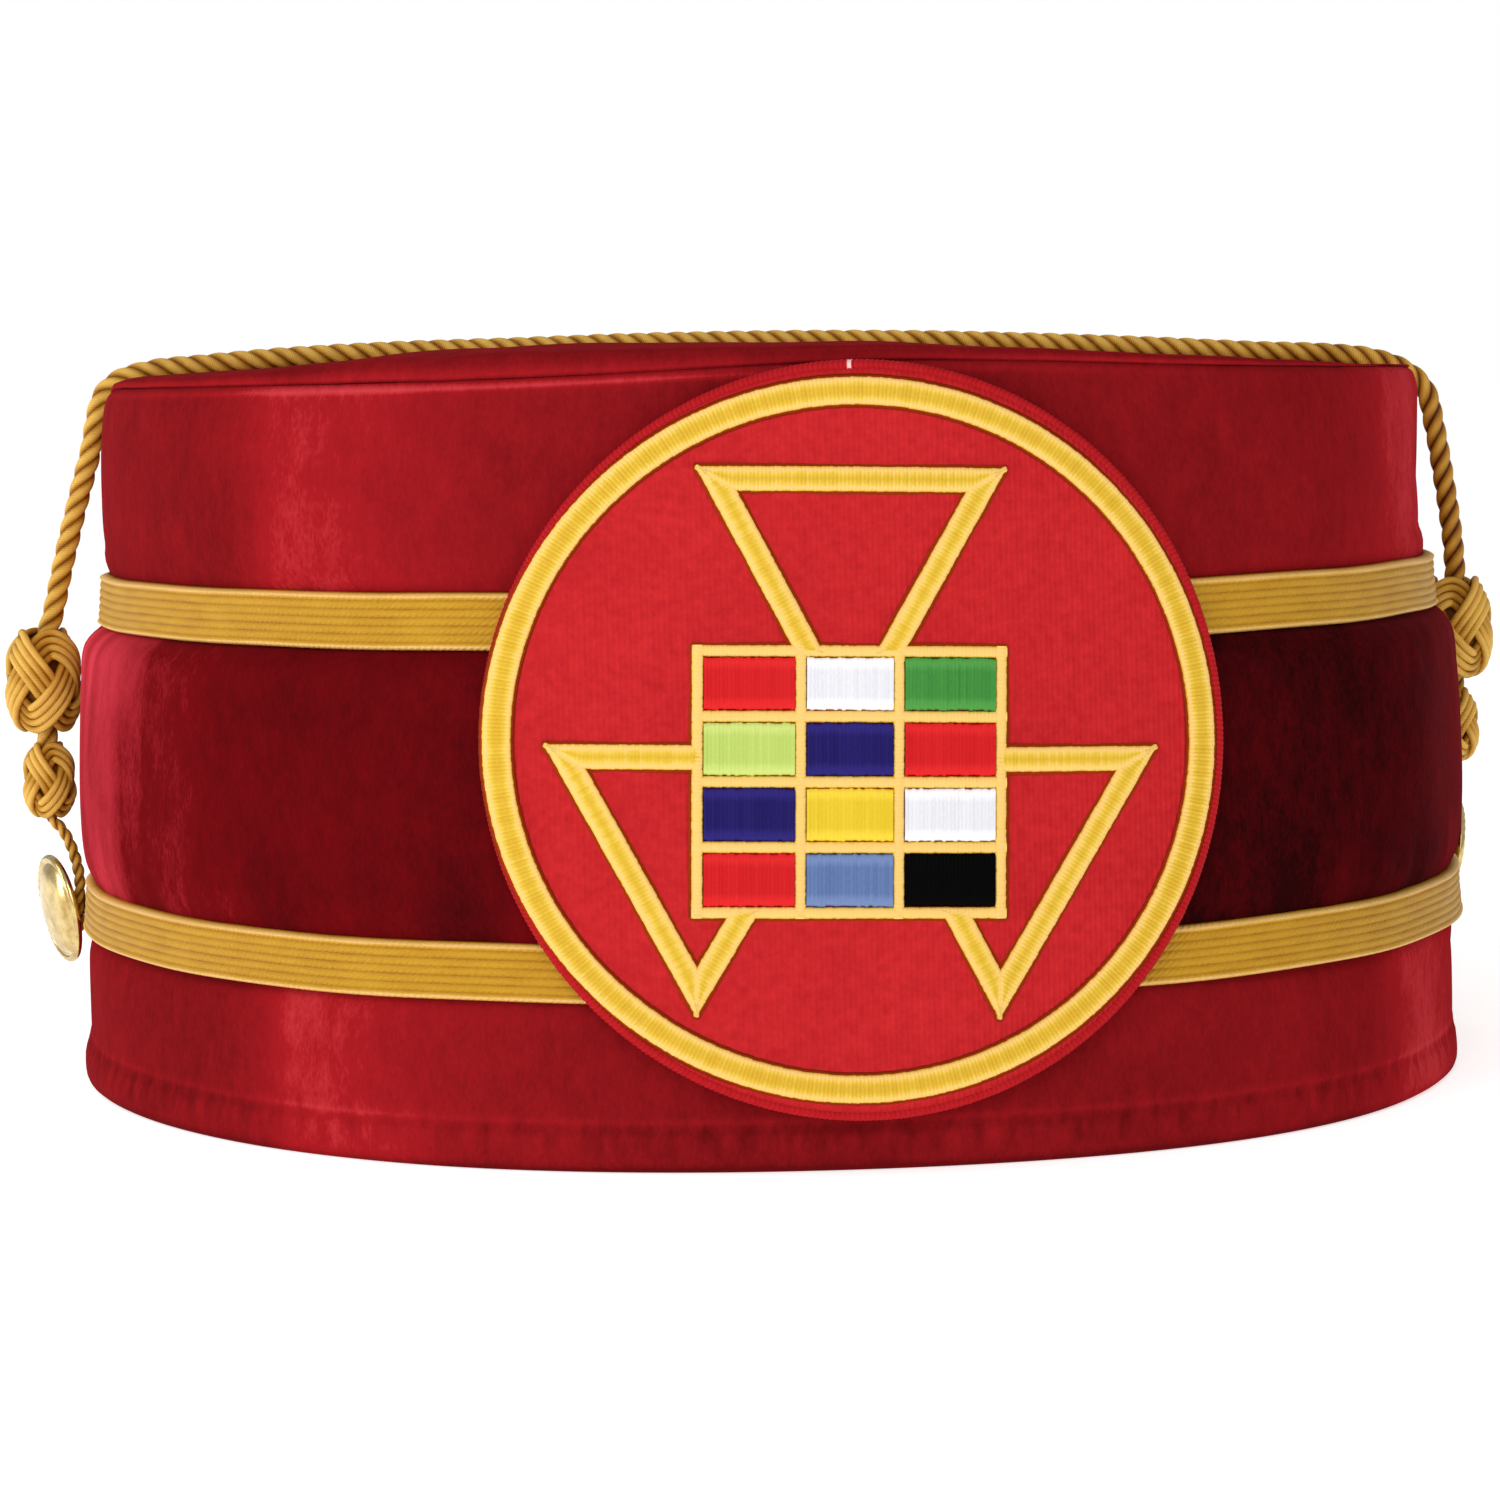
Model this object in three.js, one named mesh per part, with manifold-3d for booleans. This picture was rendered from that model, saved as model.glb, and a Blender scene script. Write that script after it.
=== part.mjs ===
// A fraternal crown cap, in millimetres, +Z up, standing on its rim with the front towards -Y.
// An oval velvet wall carries a soft top, a darker centre band held down by two ribbed tapes, a round
// embroidered emblem on the front, and a twisted cord that runs over the top between two side buttons.
// The origin is the middle of the head opening, in the plane of the rim.

import * as THREE from "three";
import { mergeVertices } from "three/addons/utils/BufferGeometryUtils.js";
import Module from "manifold-3d";

const wasm = await Module();
wasm.setup();

// ---------------------------------------------------------------- driving dimensions

const HALF_WIDTH = 84; // of the outline that wall offsets are counted from
const HALF_DEPTH = 100;
const FRONT_PRESS = 5; // how far the stiff emblem flattens the front of the outline
const PRESS_REACH = 66; // half the width that the flattening fades out over
const FORWARD = 2.2; // moves the cap, so that its middle stands over the origin
const PUFF_PRESSED = 0.7; // share of the velvet's puffing that the emblem presses out at the front
const CORE_RADIUS = 70; // inside this ring the top's rings shrink towards the middle
const AROUND = 44; // facets around the head
const GAP = 0.3; // between neighbouring pieces

const WALL_TOP = 85.2; // the seam between the wall and the top, before it swells or sags

// Where the soft cloth is pushed up or pulled down, fading out over the reach. The lift starts at the
// height "from" and is whole at the height "to".
const SWELLS = [
  { x: 6, y: -94, reach: 34, lift: 1.5, from: 66, to: WALL_TOP }, // held up by the stiff emblem
  { x: -81, y: 10, reach: 12, lift: -2.6, from: 66, to: WALL_TOP }, // pulled down by the cord
  { x: 82, y: 7, reach: 14, lift: -1.4, from: 66, to: WALL_TOP },
  { x: 63, y: -2, reach: 20, lift: -0.8, from: 66, to: WALL_TOP }, // a slack place beside it
  { x: -34, y: -76, reach: 34, lift: 1.9, from: WALL_TOP + GAP, to: 87 }, // the top puffs up here
  { x: 62, y: -40, reach: 34, lift: -1.5, from: WALL_TOP + GAP, to: 87 }, // and lies lower here
  { x: 53, y: 6, reach: 20, lift: -0.6, from: WALL_TOP + GAP, to: 87 },
];

// How far the cloth stands out at the two sides, or is drawn in, from row to row upwards. It fades out
// from SIDE_FULL to SIDE_NONE, which are distances from the middle.
const SIDE_DRAWS = [
  { height: 0, left: 1, right: 0.1 }, // the hem turns out a little on the left
  { height: 2.5, left: 0.8, right: -0.3 },
  { height: 6, left: -0.1, right: -0.9 },
  { height: 15, left: 0.2, right: -0.8 },
  { height: 18.4, left: 0, right: 0 },
  { height: 62.6, left: 0, right: 0 },
  { height: 66, left: -1, right: -2 }, // the upper zone stands nearly straight on both sides
  { height: 72, left: -0.7, right: -2.1 },
  { height: 78, left: -0.1, right: -1.3 },
  { height: 83, left: 0.2, right: -0.6 },
];
const SIDE_NONE = 52;
const SIDE_FULL = 80;

// The straight line through the two grooves that the tapes lie in.
const LOWER_GROOVE = { height: 21.6, offset: 0.5 };
const UPPER_GROOVE = { height: 59.4, offset: -2.3 };

const TAPE_WIDTH = 6.4;
const TAPE_THICKNESS = 1.25;
const TAPE_RIBS = 5;
const RIB_DEPTH = 0.25;

const BAND_THICKNESS = 0.9; // where a tape holds the centre band down
const BAND_LOWEST = LOWER_GROOVE.height - 1.6;
const BAND_HIGHEST = UPPER_GROOVE.height + 1.5;

const EMBLEM_RADIUS = 40.7;
const EMBLEM_HEIGHT = 46.4; // of its middle above the rim
const EMBLEM_ACROSS = 0.7; // it is sewn on a little off the middle
const EMBLEM_TURN = 0.028; // and a little turned
const EMBLEM_BEND = 106; // radius that the stiff patch is bent to
const PATCH_THICKNESS = 1.2;
const BORDER_RADIUS = 0.6; // of the overlocked edge's round section
const STITCH_THICKNESS = 0.5; // of the embroidery on the patch

const CORD_RADIUS = 1.4;
const LOOP_RADIUS = 0.65; // of the thin end loop

const COLOURS = {
  velvet: 0x9e1420,
  bandVelvet: 0x5a0d15,
  tape: 0xcf9f2e,
  twill: 0xd0242e,
  goldThread: 0xf0c64a,
  cord: 0xc8922c,
  brass: 0xb98f3c,
};

// ---------------------------------------------------------------- the oval

// A bump that is 1 at x = 0 and fades smoothly to 0 at x = ±PRESS_REACH.
function frontPress(x, y) {
  const share = Math.min(1, Math.abs(x) / PRESS_REACH);
  return y < 0 ? (1 - share * share) ** 2 : 0;
}

function outline(angle) {
  const x = HALF_WIDTH * Math.cos(angle);
  const y = HALF_DEPTH * Math.sin(angle);
  return new THREE.Vector2(x, y + FRONT_PRESS * frontPress(x, y));
}

function outlineNormal(angle) {
  const step = 1e-3;
  const tangent = outline(angle + step).sub(outline(angle - step)).normalize();
  return new THREE.Vector2(tangent.y, -tangent.x);
}

function grooveOffset(height) {
  const rise = UPPER_GROOVE.height - LOWER_GROOVE.height;
  const share = (height - LOWER_GROOVE.height) / rise;
  return THREE.MathUtils.lerp(LOWER_GROOVE.offset, UPPER_GROOVE.offset, share);
}

// Where a ring of this radius stands at this angle. Outside CORE_RADIUS the rings are parallel to the
// outline, and the emblem presses their puffing flat; inside it they shrink to the middle.
function onOval(radius, angle, height) {
  const point = outline(angle);
  const groove = grooveOffset(height);
  const pressed = PUFF_PRESSED * frontPress(point.x, point.y);
  const asked = Math.max(radius, CORE_RADIUS) - HALF_WIDTH;
  const offset = asked > groove ? THREE.MathUtils.lerp(asked, groove, pressed) : asked;
  point.addScaledVector(outlineNormal(angle), offset + sideDraw(point.x, height));
  point.multiplyScalar(Math.min(1, radius / CORE_RADIUS));
  return new THREE.Vector3(point.x, point.y, height + swell(point, height));
}

function sideDraw(x, height) {
  const side = x < 0 ? "left" : "right";
  const above = SIDE_DRAWS.findIndex((row) => row.height > height);
  const last = SIDE_DRAWS[SIDE_DRAWS.length - 1];
  let draw = last[side];
  if (above > 0) {
    const [low, high] = [SIDE_DRAWS[above - 1], SIDE_DRAWS[above]];
    draw = THREE.MathUtils.mapLinear(height, low.height, high.height, low[side], high[side]);
  }
  return draw * THREE.MathUtils.smoothstep(Math.abs(x), SIDE_NONE, SIDE_FULL);
}

function swell(point, height) {
  let lift = 0;
  for (const row of SWELLS) {
    const away = Math.hypot(point.x - row.x, point.y - row.y) / row.reach;
    const share = THREE.MathUtils.clamp((height - row.from) / (row.to - row.from), 0, 1);
    lift += share * row.lift * Math.exp(-(away ** 2));
  }
  return lift;
}

// Turns a closed section of { height, offset } rows, listed anticlockwise, into a solid around the oval.
function ovalSolid(section) {
  const profile = section.map((row) => new THREE.Vector2(HALF_WIDTH + row.offset, row.height));
  const geometry = new THREE.LatheGeometry(profile, AROUND);
  const position = geometry.getAttribute("position");
  for (let i = 0; i < position.count; i++) {
    const [x, height, z] = [position.getX(i), position.getY(i), position.getZ(i)];
    const placed = onOval(Math.hypot(x, z), Math.atan2(-z, x), height);
    position.setXYZ(i, placed.x, placed.y, placed.z);
  }
  geometry.computeVertexNormals();
  return geometry;
}

// ---------------------------------------------------------------- shared helpers

function material(colour, roughness = 0.85, metalness = 0) {
  return new THREE.MeshStandardMaterial({ color: colour, roughness, metalness });
}

function piece(name, geometry, finish) {
  const mesh = new THREE.Mesh(geometry, finish);
  mesh.name = name;
  return mesh;
}

function closed(section) {
  return [...section, section[0]];
}

function toSolid(geometry) {
  const bare = geometry.clone();
  bare.deleteAttribute("normal");
  bare.deleteAttribute("uv");
  const merged = mergeVertices(bare, 1e-4);
  return new wasm.Manifold(
    new wasm.Mesh({
      numProp: 3,
      vertProperties: merged.getAttribute("position").array,
      triVerts: new Uint32Array(merged.index.array),
    }),
  );
}

function toGeometry(solid) {
  const mesh = solid.getMesh();
  const geometry = new THREE.BufferGeometry();
  geometry.setAttribute("position", new THREE.BufferAttribute(mesh.vertProperties, 3));
  geometry.setIndex(new THREE.BufferAttribute(mesh.triVerts, 1));
  geometry.computeVertexNormals();
  return geometry;
}

// ---------------------------------------------------------------- wall, top, centre band

const WALL_OUTSIDE = [
  { height: 0, offset: 0.9 }, // turned hem
  { height: 1, offset: 1.6 },
  { height: 9, offset: 1.75 },
  { height: 15.5, offset: 1.45 },
  { height: 17.8, offset: LOWER_GROOVE.offset },
  { height: BAND_LOWEST - GAP, offset: LOWER_GROOVE.offset },
  { height: BAND_LOWEST - GAP, offset: LOWER_GROOVE.offset - BAND_THICKNESS - GAP },
  { height: 25, offset: LOWER_GROOVE.offset - BAND_THICKNESS - GAP },
  { height: 33, offset: 0.9 },
  { height: 45, offset: 0.8 },
  { height: 56, offset: UPPER_GROOVE.offset - BAND_THICKNESS - GAP },
  { height: BAND_HIGHEST + GAP, offset: UPPER_GROOVE.offset - BAND_THICKNESS - GAP },
  { height: BAND_HIGHEST + GAP, offset: UPPER_GROOVE.offset },
  { height: 63.2, offset: UPPER_GROOVE.offset },
  { height: 65, offset: -0.6 },
  { height: 71, offset: -0.5 },
  { height: 80, offset: -1.6 },
  { height: WALL_TOP, offset: -2.9 },
];

const WALL_INSIDE = [
  { height: WALL_TOP, offset: -5.7 },
  { height: 71, offset: -3.3 },
  { height: 59, offset: -5 },
  { height: 41, offset: -1.4 },
  { height: 21, offset: -2.2 },
  { height: 0, offset: -0.6 },
];

function crownWall() {
  const section = closed([...WALL_OUTSIDE, ...WALL_INSIDE]);
  return piece("crown_wall", ovalSolid(section), material(COLOURS.velvet));
}

const BAND_OUTSIDE = [
  { height: BAND_LOWEST, offset: LOWER_GROOVE.offset },
  { height: 24.8, offset: LOWER_GROOVE.offset },
  { height: 26.2, offset: 1.8 },
  { height: 33, offset: 2.4 },
  { height: 44, offset: 2.35 },
  { height: 51, offset: 1.8 },
  { height: 54.6, offset: 0.9 },
  { height: 56.2, offset: UPPER_GROOVE.offset },
  { height: BAND_HIGHEST, offset: UPPER_GROOVE.offset },
];

const BAND_INSIDE = [
  { height: BAND_HIGHEST, offset: UPPER_GROOVE.offset - BAND_THICKNESS },
  { height: 55.6, offset: UPPER_GROOVE.offset - BAND_THICKNESS },
  { height: 45, offset: 1.3 },
  { height: 33, offset: 1.4 },
  { height: 25.4, offset: LOWER_GROOVE.offset - BAND_THICKNESS },
  { height: BAND_LOWEST, offset: LOWER_GROOVE.offset - BAND_THICKNESS },
];

function centreBand() {
  const section = closed([...BAND_OUTSIDE, ...BAND_INSIDE]);
  return piece("centre_band", ovalSolid(section), material(COLOURS.bandVelvet));
}

// The underside first, from the middle out, then the rolled edge and the soft dome back to the middle.
const TOP_SECTION = [
  { height: 86.5, offset: -HALF_WIDTH },
  { height: 86.2, offset: -44 },
  { height: WALL_TOP + GAP, offset: -8 },
  { height: WALL_TOP + GAP, offset: -2.9 },
  { height: 86.1, offset: -3.2 },
  { height: 86.6, offset: -4.8 },
  { height: 86.9, offset: -11 },
  { height: 87.5, offset: -26 },
  { height: 87.9, offset: -46 },
  { height: 88.1, offset: -HALF_WIDTH },
];

function crownTop() {
  return piece("crown_top", ovalSolid(TOP_SECTION), material(COLOURS.velvet));
}

// ---------------------------------------------------------------- ribbed tapes

// A flat braid of TAPE_RIBS cords side by side, lying in one of the grooves.
function tape(name, groove) {
  const back = groove.offset + GAP;
  const lowest = groove.height - TAPE_WIDTH / 2;
  const section = [];
  for (let i = 0; i <= 2 * TAPE_RIBS; i++) {
    const height = lowest + (i * TAPE_WIDTH) / (2 * TAPE_RIBS);
    const depth = i % 2 === 0 ? RIB_DEPTH : 0;
    const lean = grooveOffset(height) - groove.offset;
    section.push({ height, offset: back + TAPE_THICKNESS - depth + lean });
  }
  const highest = lowest + TAPE_WIDTH;
  section.push({ height: highest, offset: back });
  section.push({ height: lowest, offset: back });
  return piece(name, ovalSolid(closed(section)), material(COLOURS.tape, 0.6));
}

// ---------------------------------------------------------------- emblem

// The patch is drawn in its own flat frame, x across and z up, as it is seen from the front, and every
// layer of it is bent back along y by this much.
function bend(x) {
  return EMBLEM_BEND - Math.sqrt(EMBLEM_BEND ** 2 - x * x);
}

// A bent sheet between two distances in front of the patch's back, larger than the patch.
function bentLayer(from, to) {
  const reach = EMBLEM_RADIUS + 3;
  const facets = 14;
  const shape = new THREE.Shape();
  const columns = Array.from({ length: facets + 1 }, (_, i) => -reach + (2 * reach * i) / facets);
  columns.forEach((x, i) => (i ? shape.lineTo(x, bend(x) - to) : shape.moveTo(x, bend(x) - to)));
  columns.reverse().forEach((x) => shape.lineTo(x, bend(x) - from));
  const sheet = new THREE.ExtrudeGeometry(shape, { depth: 2 * reach, bevelEnabled: false });
  return toSolid(sheet.translate(0, 0, -reach));
}

// What a bent sheet has inside an outline that is drawn as seen from the front.
function cutFromLayer(layer, shape) {
  const deep = 40;
  const prism = new THREE.ExtrudeGeometry(shape, { depth: deep, bevelEnabled: false });
  prism.rotateX(Math.PI / 2).translate(0, deep / 2, 0);
  return layer.intersect(toSolid(prism));
}

// A disc, or a ring if it has an inner radius. stretch makes it wider than it is tall.
function disc({ outer, inner = 0, across = 0, stretch = 1 }) {
  const points = (radius) =>
    Array.from({ length: 44 }, (_, i) => {
      const angle = (i * Math.PI) / 22;
      return new THREE.Vector2(across + stretch * radius * Math.cos(angle), radius * Math.sin(angle));
    });
  const shape = new THREE.Shape(points(outer));
  if (inner) shape.holes.push(new THREE.Path(points(inner)));
  return shape;
}

function rectangle(left, bottom, width, height) {
  const [right, top] = [left + width, bottom + height];
  return new THREE.Shape([
    new THREE.Vector2(left, bottom),
    new THREE.Vector2(right, bottom),
    new THREE.Vector2(right, top),
    new THREE.Vector2(left, top),
  ]);
}

const RING = { outer: 38.8, inner: 35.8, across: -0.45, stretch: 1.03 };

// The corners of the three triangles, as x across and z up. Each one is an outline of even width.
const TRIANGLE_LINE = 2.7;
const TRIANGLES = [
  { name: "top", left: [-18.05, 29.2], point: [-1.6, -1.3], right: [15.55, 29.2] },
  { name: "left", left: [-33.95, -0.5], point: [-17.7, -29.7], right: [-0.7, -0.65] },
  { name: "right", left: [-1.1, -0.9], point: [14.9, -30], right: [32.7, -0.5] },
];

const FRAME = { left: -18.3, bottom: -19.1, width: 33.9, height: 29.2, line: 1.25 };
const STONE_WIDTHS = [9.7, 9.3, 9.9]; // of the three columns, from the left
const STONE_HEIGHT = (FRAME.height - 5 * FRAME.line) / 4;
const STONES = [
  ["red", "white", "green"],
  ["lime", "navy", "red"],
  ["navy", "yellow", "white"],
  ["red", "sky", "black"],
];
const STONE_COLOURS = {
  red: 0xdc2030,
  white: 0xf2f2f4,
  green: 0x3f9c4c,
  lime: 0xbcdc66,
  navy: 0x2c2878,
  yellow: 0xf2d234,
  sky: 0x668fc8,
  black: 0x0c0c10,
};

// The inner outline is the outer one shrunk towards the middle of the circle that touches all three sides.
function openTriangle({ left, point, right }) {
  const outer = [left, point, right].map(([x, z]) => new THREE.Vector2(x, z));
  const opposite = outer.map((_, i) => outer[(i + 1) % 3].distanceTo(outer[(i + 2) % 3]));
  const around = opposite[0] + opposite[1] + opposite[2];
  const middle = new THREE.Vector2();
  outer.forEach((corner, i) => middle.addScaledVector(corner, opposite[i] / around));
  const touching = (2 * Math.abs(THREE.ShapeUtils.area(outer))) / around;
  const inner = outer.map((corner) => corner.clone().lerp(middle, TRIANGLE_LINE / touching));
  const shape = new THREE.Shape(outer);
  shape.holes.push(new THREE.Path(inner));
  return shape;
}

// The window of each stone: its row, its column and its rectangle inside the frame.
function stoneWindows() {
  return STONES.flatMap((row, r) => {
    let left = FRAME.left + FRAME.line;
    const bottom = FRAME.bottom + FRAME.line + (3 - r) * (STONE_HEIGHT + FRAME.line);
    return row.map((colour, c) => {
      const window = { name: `stone_${r + 1}${c + 1}`, colour, left, bottom, width: STONE_WIDTHS[c] };
      left += STONE_WIDTHS[c] + FRAME.line;
      return window;
    });
  });
}

function emblem() {
  const group = new THREE.Group();
  const back = grooveOffset(EMBLEM_HEIGHT) + TAPE_THICKNESS + 3 * GAP;
  group.position.set(EMBLEM_ACROSS, -(HALF_DEPTH - FRONT_PRESS + back), EMBLEM_HEIGHT);
  const rise = UPPER_GROOVE.height - LOWER_GROOVE.height;
  group.rotation.x = -Math.atan2(LOWER_GROOVE.offset - UPPER_GROOVE.offset, rise);
  group.rotation.y = EMBLEM_TURN;

  const patch = bentLayer(0, PATCH_THICKNESS);
  const stitchBack = PATCH_THICKNESS + GAP / 2;
  const stitches = bentLayer(stitchBack, stitchBack + STITCH_THICKNESS);
  const gold = material(COLOURS.goldThread, 0.55);

  const baseRadius = EMBLEM_RADIUS - 2 * BORDER_RADIUS - GAP;
  const base = toGeometry(cutFromLayer(patch, disc({ outer: baseRadius })));
  group.add(piece("patch_base", base, material(COLOURS.twill)));
  group.add(piece("patch_border", borderGeometry(), material(COLOURS.twill, 0.6)));

  const ring = cutFromLayer(stitches, disc(RING));
  group.add(piece("emblem_ring", toGeometry(ring), gold));

  const { left, bottom, width, height } = FRAME;
  const through = bentLayer(-2, 6);
  const clear = rectangle(left - GAP, bottom - GAP, width + 2 * GAP, height + 2 * GAP);
  const behindFrame = cutFromLayer(through, clear);
  for (const triangle of TRIANGLES) {
    const solid = cutFromLayer(stitches, openTriangle(triangle)).subtract(behindFrame);
    group.add(piece(`emblem_triangle_${triangle.name}`, toGeometry(solid), gold));
  }

  let frame = cutFromLayer(stitches, rectangle(left, bottom, width, height));
  for (const w of stoneWindows()) {
    frame = frame.subtract(cutFromLayer(through, rectangle(w.left, w.bottom, w.width, STONE_HEIGHT)));
    const play = GAP / 2;
    const stone = rectangle(w.left + play, w.bottom + play, w.width - GAP, STONE_HEIGHT - GAP);
    const finish = material(STONE_COLOURS[w.colour], 0.6);
    group.add(piece(w.name, toGeometry(cutFromLayer(stitches, stone)), finish));
  }
  group.add(piece("emblem_frame", toGeometry(frame), gold));
  return group;
}

// The overlocked edge: a round section swept around the patch and bent with it.
function borderGeometry() {
  const geometry = new THREE.TorusGeometry(EMBLEM_RADIUS - BORDER_RADIUS, BORDER_RADIUS, 6, 44);
  geometry.rotateX(Math.PI / 2);
  const position = geometry.getAttribute("position");
  for (let i = 0; i < position.count; i++) {
    position.setY(i, position.getY(i) + bend(position.getX(i)) - PATCH_THICKNESS / 2);
  }
  geometry.computeVertexNormals();
  return geometry;
}

// ---------------------------------------------------------------- cap cord, knots, loops and buttons

// What hangs at each side: the way out, how far back it hangs, how much higher or lower it is than the
// dimensions below, and how far its button faces round to the front.
const SIDES = [
  { name: "left", side: -1, back: 10, lift: -1.4, facing: 0.35 },
  { name: "right", side: 1, back: 7, lift: 1.4, facing: 0 },
];

const KNOTS = [
  { name: "knot_large", out: 91, height: 50.1, radius: 5.1, length: 12.8, waist: 0.68, foot: 0.68, bore: 2.55 },
  { name: "knot_small", out: 90.66, height: 37.4, radius: 3.6, length: 9.4, waist: 0.62, foot: 0.6, bore: 1.75 },
];
const KNOT_LOBES = 4; // crossings of the strands around a knot
const BUTTON = { height: 21.1, radius: 7, out: 89.3, foot: 86.45, dome: 2.1, shank: 1.5, tilt: 0.17 };

// The cord's route, from near the middle of the top out to each side, over the edge, and down to the end
// inside the small knot. What hangs moves up or down with the side's lift.
const CORD_BACK = 8.5; // how far back it crosses the middle of the top
const CORD_ROUTE = [
  { left: 14, right: 6, height: 90 },
  { left: 30, right: 22, height: 89.7 },
  { left: 48, right: 30.5, height: 89.4 },
  { left: 62, right: 44, height: 88.8 },
  { left: 70, right: 55, height: 88.2 },
  { left: 76, right: 63, height: 87.7 },
  { left: 80.4, right: 80, height: 86.5 },
  { left: 82.5, right: 85, height: 84.6 },
  { left: 83.4, right: 87.4, height: 82 },
  { left: 84.2, right: 88.4, height: 78 },
  { left: 86.3, right: 89.7, height: 70.5 },
  { left: 88.1, right: 90.7, height: 63.5 },
  { left: 89.6, right: 91, height: 58.5, hangs: true },
  { left: 90.8, right: 91.1, height: 54.5, hangs: true },
  { left: 91.1, right: 91.1, height: 50, hangs: true },
  { left: 90.9, right: 90.9, height: 44.8, hangs: true },
  { left: 90.69, right: 90.69, height: 41, hangs: true },
  { left: 90.66, right: 90.66, height: 37.4, hangs: true },
  { left: 90.66, right: 90.66, height: 33.8, hangs: true },
];

function cordRoute() {
  const along = ({ name, side, back, lift }) =>
    CORD_ROUTE.map((row) => {
      const y = THREE.MathUtils.lerp(CORD_BACK, back, Math.min(1, row[name] / HALF_WIDTH));
      return new THREE.Vector3(side * row[name], y, row.height + (row.hangs ? lift : 0));
    });
  const [left, right] = SIDES.map(along);
  return new THREE.CatmullRomCurve3([...left.reverse(), ...right]);
}

function tube(curve, radius, sides, steps) {
  const shape = new THREE.Shape();
  for (let i = 0; i < sides; i++) {
    const angle = (2 * Math.PI * i) / sides;
    const [x, y] = [radius * Math.cos(angle), radius * Math.sin(angle)];
    if (i) shape.lineTo(x, y);
    else shape.moveTo(x, y);
  }
  return new THREE.ExtrudeGeometry(shape, { steps, extrudePath: curve, bevelEnabled: false });
}

function cord() {
  return piece("cord", tube(cordRoute(), CORD_RADIUS, 8, 64), material(COLOURS.cord, 0.6));
}

// A braided slide: a barrel with a bore, its outside raised where the strands cross.
function knot(spec, { name, side, back, lift }) {
  const rows = 6;
  const relief = 0.3;
  const profile = [new THREE.Vector2(spec.bore, -spec.length / 2)];
  for (let i = 0; i <= rows; i++) {
    const along = (2 * i) / rows - 1;
    const narrow = along < 0 ? spec.foot : spec.waist;
    const bulge = spec.radius * (1 - (1 - narrow) * Math.abs(along) ** 2.4);
    profile.push(new THREE.Vector2(bulge, (along * spec.length) / 2));
  }
  profile.push(new THREE.Vector2(spec.bore, spec.length / 2), profile[0]);
  const geometry = new THREE.LatheGeometry(profile, 16);
  const position = geometry.getAttribute("position");
  for (let i = 0; i < position.count; i++) {
    const [x, y, z] = [position.getX(i), position.getY(i), position.getZ(i)];
    const radius = Math.hypot(x, z);
    const angle = Math.atan2(z, x);
    const slope = (2 * Math.PI * y) / spec.length;
    const crossing = Math.cos(KNOT_LOBES * angle + slope) * Math.cos(KNOT_LOBES * angle - slope);
    const raised = radius > spec.bore + GAP ? 1 + (relief * (crossing - 1)) / radius : 1;
    position.setXYZ(i, x * raised, y, z * raised);
  }
  geometry.rotateX(Math.PI / 2);
  geometry.computeVertexNormals();
  const mesh = piece(`${spec.name}_${name}`, geometry, material(COLOURS.cord, 0.6));
  mesh.position.set(side * spec.out, back, spec.height + lift);
  return mesh;
}

// The thin loop that comes out under the small knot and goes round the button's shank.
function endLoop({ name, side, back, lift }) {
  const small = KNOTS[1];
  const start = small.height - small.length / 2 - GAP;
  const round = BUTTON.shank + 1.5 * GAP + LOOP_RADIUS;
  const shankOut = 87.3;
  const half = [
    { out: small.out, apart: 0.9, height: start },
    { out: 88.9, apart: 1.1, height: start - 2.1 },
    { out: shankOut, apart: 2, height: BUTTON.height + 4.5 },
    { out: shankOut, apart: round, height: BUTTON.height + 0.4 },
    { out: shankOut, apart: round * 0.72, height: BUTTON.height - round * 0.72 },
  ];
  const strand = (way) =>
    half.map((row) => new THREE.Vector3(side * row.out, back + way * row.apart, row.height + lift));
  const bottom = new THREE.Vector3(side * shankOut, back, BUTTON.height - round + lift);
  const curve = new THREE.CatmullRomCurve3([...strand(-1), bottom, ...strand(1).reverse()]);
  return piece(`end_loop_${name}`, tube(curve, LOOP_RADIUS, 6, 20), material(COLOURS.cord, 0.6));
}

// A domed metal button with a rolled rim on a short shank, its axis pointing out of the side of the cap.
function button({ name, side, back, lift, facing }) {
  const { radius, dome, shank, out, foot } = BUTTON;
  const profile = [
    [0, foot - out],
    [shank, foot - out],
    [shank, 0],
    [radius - 0.5, 0],
    [radius, 0.4],
    [radius - 0.3, 0.95],
    [radius - 0.9, 0.9],
    [radius * 0.72, dome * 0.72],
    [radius * 0.4, dome * 0.95],
    [0, dome],
  ].map(([x, y]) => new THREE.Vector2(x, y));
  const geometry = new THREE.LatheGeometry(profile, 16);
  const mesh = piece(`button_${name}`, geometry, material(COLOURS.brass, 0.3, 1));
  mesh.rotation.z = -side * (Math.PI / 2);
  const holder = new THREE.Group();
  holder.add(mesh);
  holder.rotation.set(0, side * BUTTON.tilt, -side * facing, "ZYX");
  holder.position.set(side * out, back - (out - 87.3) * Math.tan(facing), BUTTON.height + lift);
  return holder;
}

// ---------------------------------------------------------------- the cap

const cap = new THREE.Group();
cap.position.y = -FORWARD;
cap.add(crownWall(), crownTop(), centreBand());
cap.add(tape("tape_lower", LOWER_GROOVE), tape("tape_upper", UPPER_GROOVE));
cap.add(emblem());
cap.add(cord());
for (const side of SIDES) {
  cap.add(...KNOTS.map((spec) => knot(spec, side)));
  cap.add(endLoop(side), button(side));
}

export default cap;
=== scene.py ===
"""A royal arch cap: a crimson velvet crown with a darker velvet band between two ribbed gold tapes, a round
embroidered patch on the front, and a gold cord that crosses the top and hangs down each side through two
woven knots to a loop on a metal button. Lengths are in millimetres until a mesh is made."""

import math

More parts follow.
